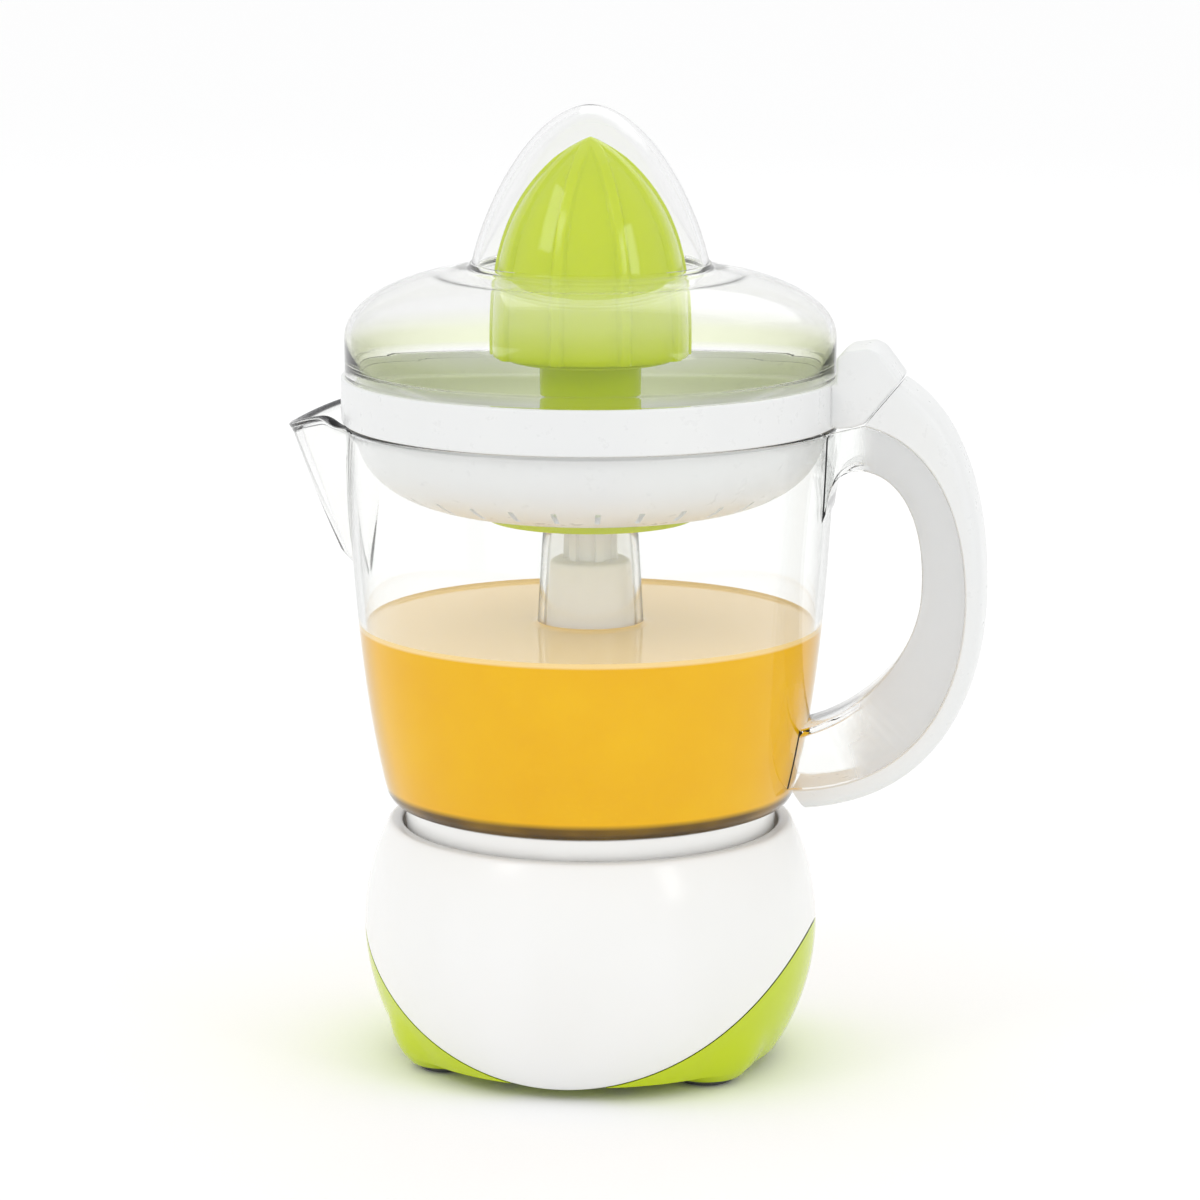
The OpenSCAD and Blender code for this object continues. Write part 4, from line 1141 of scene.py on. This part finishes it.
def juice_material():
    """Orange juice: a cloudy liquid with fine pulp and a glossy top, a foot painted dark brown as
    painted shade, and a faint painted glow.
    """
    mat, nt, bsdf, at = shader("juice")
    cloud = noise(nt, at, 45, 4, 0.6)
    pulp = noise(nt, stretched(nt, at, (1, 1, 1.6)), 900, 3, 0.6)
    top = height_mask(nt, at, JUICE_Z - 0.9, JUICE_Z - 0.2)
    body = blend(nt, spread(nt, cloud, 0, 1), srgb(233, 180, 0), srgb(229, 172, 0))
    body = blend(nt, spread(nt, pulp, 0, 0.22, 0.55, 0.75), body, srgb(246, 200, 20))
    body = blend(nt, top, body, srgb(240, 208, 140))
    # Painted shade: the foot, where the juice meets the corner of the jug's floor, is painted dark
    # brown in patches.
    patchy_foot_shade = spread(nt, noise(nt, at, 38, 2), 0.7, 1)
    foot = sums(nt, "MULTIPLY", height_mask(nt, at, 81.2, 79.6), patchy_foot_shade)
    nt.links.new(blend(nt, foot, body, srgb(58, 38, 14)), bsdf.inputs["Base Color"])
    nt.links.new(spread(nt, pulp, 0.03, 0.07), bsdf.inputs["Roughness"])
    nt.links.new(sums(nt, "MULTIPLY", top, 0.5), bsdf.inputs["Specular IOR Level"])
    bump(nt, bsdf, noise(nt, at, 70, 2), 2e-5, 0.3)
    bsdf.inputs["IOR"].default_value = 1.4
    # Painted light: the juice glows faintly in its own colour, but for its dark foot.
    nt.links.new(blend(nt, foot, body, (0, 0, 0)), bsdf.inputs["Emission Color"])
    bsdf.inputs["Emission Strength"].default_value = 0.04
    return mat


GREEN, GREEN_SHADE = srgb(197, 214, 8), srgb(190, 208, 4)
WHITE, WHITE_SHADE = srgb(241, 241, 240), srgb(238, 238, 236)
PALE, PALE_SHADE = srgb(231, 232, 231), srgb(228, 229, 229)
# Named after the slot, but for the spindle and the juice, named after the piece.
MATERIALS = {
    "white_shell": plastic("white_abs", WHITE, WHITE_SHADE, 0.16),
    "white_part": plastic("white_polypropylene", PALE, PALE_SHADE, 0.3, 2e-6),
    # Painted light: the spindle gets a whiter copy of the white plastic, to lift it where the centre
    # tube and the strainer shade it.
    "spindle": plastic("white_acetal_painted_light", srgb(252, 252, 250), srgb(249, 249, 246), 0.3),
    "green_shell": plastic("green_abs", GREEN, GREEN_SHADE, 0.13),
    "green_part": plastic("green_polypropylene", GREEN, GREEN_SHADE, 0.16, soft=0.15),
    "juice": juice_material(),
    "clear_jug": jug_material(),
    "clear_lid": lid_material(),
    "rubber": matt("rubber", srgb(88, 88, 90), srgb(74, 74, 77), 0.8),
    "dark_plastic": matt("dark_plastic", srgb(48, 48, 50), srgb(40, 40, 43), 0.55),
    "red_plastic": plastic("red_plastic", srgb(186, 40, 34), srgb(168, 32, 28), 0.3),
    "acetal": plastic("acetal", srgb(240, 238, 226), srgb(230, 227, 212), 0.38, 1.2e-5, 600, 0.2),
    "steel": metal("zinc_steel", (0.56, 0.57, 0.6), (0.46, 0.47, 0.5), 0.3),
    "spring_steel": metal("spring_steel", (0.4, 0.41, 0.43), (0.32, 0.33, 0.35), 0.26),
    "brass": metal("brass", (0.76, 0.58, 0.26), (0.66, 0.47, 0.19), 0.28, (1, 1, 0.15)),
    "copper": winding("copper_winding"),
    "magnet": matt("ferrite", srgb(62, 62, 66), srgb(48, 48, 52), 0.6, 1500, 4e-5),
    "wire_insulation": matt("wire_insulation", srgb(122, 66, 30), srgb(104, 54, 24), 0.5, 900, 8e-6),
}


PIECES = {
    "base_housing": (build_base_housing, "base", "white_shell"),
    "base_cover": (build_base_cover, "base", "green_shell"),
    "jug": (build_jug, "jug", "clear_jug"),
    "handle_cover": (build_handle_cover, "jug", "white_part"),
    "juice": (build_juice, "jug", "white_part"),
    "spindle": (build_spindle, "drive", "white_part"),
    "strainer": (build_strainer, "strainer", "white_part"),
    "pulp_ring": (build_pulp_ring, "pulp_ring", "green_part"),
    "cone_core": (build_core, "cone", "green_part"),
    "cone": (build_cone, "cone", "green_part"),
    "lid": (build_lid, "lid", "clear_lid"),
}


def build_pieces():
    """A skin for each CAD node named above, and the juice, which has no node."""
    for name, (build, body, slot) in PIECES.items():
        material = MATERIALS.get(name, MATERIALS[slot])
        if name in frame["nodes"]:
            piece(build(), name + "_skin", body, slot, material, name)
        else:
            piece(build(), name, body, slot, material)


def dress_frame():
    """Each CAD node that stays in view gets its slot's material."""
    slots = {s["node"]: s["material_slot"] for s in frame["record"]["subparts"]}
    for name, ob in frame["nodes"].items():
        ob.data.materials.clear()
        ob.data.materials.append(MATERIALS[slots[name]])
        ob.data.shade_smooth()
        ob.data.set_sharp_from_angle(angle=math.radians(30))


# ---- camera, light and floor ----
def aim(ob, at):
    ob.rotation_euler = (Vector(at) - ob.location).to_track_quat("-Z", "Y").to_euler()


def make_camera():
    data = bpy.data.cameras.new("camera")
    data.lens, data.sensor_width = 138.33, 36
    data.shift_x = 0.0079
    data.clip_end = 60
    ob = bpy.data.objects.new("camera", data)
    turn = math.radians(10)
    ob.location = (1.3 * math.sin(turn), -1.3 * math.cos(turn), 0.3835)
    aim(ob, (0, 0, 0.1335))
    bpy.context.scene.collection.objects.link(ob)
    bpy.context.scene.camera = ob


def area_light(name, place, at, size, power):
    data = bpy.data.lights.new(name, "AREA")
    data.shape, data.size, data.size_y, data.energy = "RECTANGLE", size[0], size[1], power
    ob = bpy.data.objects.new(name, data)
    ob.location = place
    aim(ob, at)
    bpy.context.scene.collection.objects.link(ob)


def make_world():
    world = bpy.data.worlds.new("studio")
    world.use_nodes = True
    nt = world.node_tree
    sky = nt.nodes["Background"]
    at = nt.nodes.new("ShaderNodeTexCoord").outputs["Generated"]
    part = nt.nodes.new("ShaderNodeSeparateXYZ")
    nt.links.new(at, part.inputs["Vector"])
    height = spread(nt, part.outputs["Z"], 0, 1, -0.1, 0.9)
    nt.links.new(blend(nt, height, (0.96, 0.965, 0.97), (1, 1, 1)), sky.inputs["Color"])
    sky.inputs["Strength"].default_value = 1.02
    bpy.context.scene.world = world
    bpy.context.scene.view_settings.view_transform = "Standard"


def make_floor():
    n = 96
    a = even(n)
    radii = [0.0, 0.6, 2.0, 6.0, 30.0]
    rings = [np.stack([r * np.cos(a), r * np.sin(a), 0 * a], -1) for r in radii[1:]]
    verts = np.concatenate([[[0, 0, 0]]] + rings)
    faces = [(0, 1 + i, 1 + (i + 1) % n) for i in range(n)]
    for k in range(len(rings) - 1):
        for i in range(n):
            j = (i + 1) % n
            faces.append((1 + k * n + i, 1 + k * n + n + i, 1 + k * n + n + j, 1 + k * n + j))
    floor = new_object("floor", verts, faces)
    mat, nt, bsdf, at = shader("floor_paper")
    fibre = noise(nt, at, 900, 3)
    colour = blend(nt, spread(nt, fibre, 0, 1), (0.965, 0.965, 0.965), (0.98, 0.98, 0.98))
    nt.links.new(colour, bsdf.inputs["Base Color"])
    bsdf.inputs["Roughness"].default_value = 0.9
    bsdf.inputs["Specular IOR Level"].default_value = 0.1
    floor.data.materials.append(mat)


def make_light():
    area_light("key", (-1.3, -1.5, 1.7), (0, 0, 0.15), (0.6, 1.0), 4.2)
    area_light("fill", (1.6, -1.1, 1.1), (0, 0, 0.15), (0.35, 0.8), 2.3)
    area_light("back", (0.2, 1.6, 1.5), (0, 0, 0.15), (1.6, 0.9), 3)


make_camera()
make_world()
make_floor()
make_light()
dress_frame()
build_pieces()

# Light crosses many clear walls, one behind the other.
bpy.context.scene.cycles.max_bounces = 24
bpy.context.scene.cycles.transmission_bounces = 24
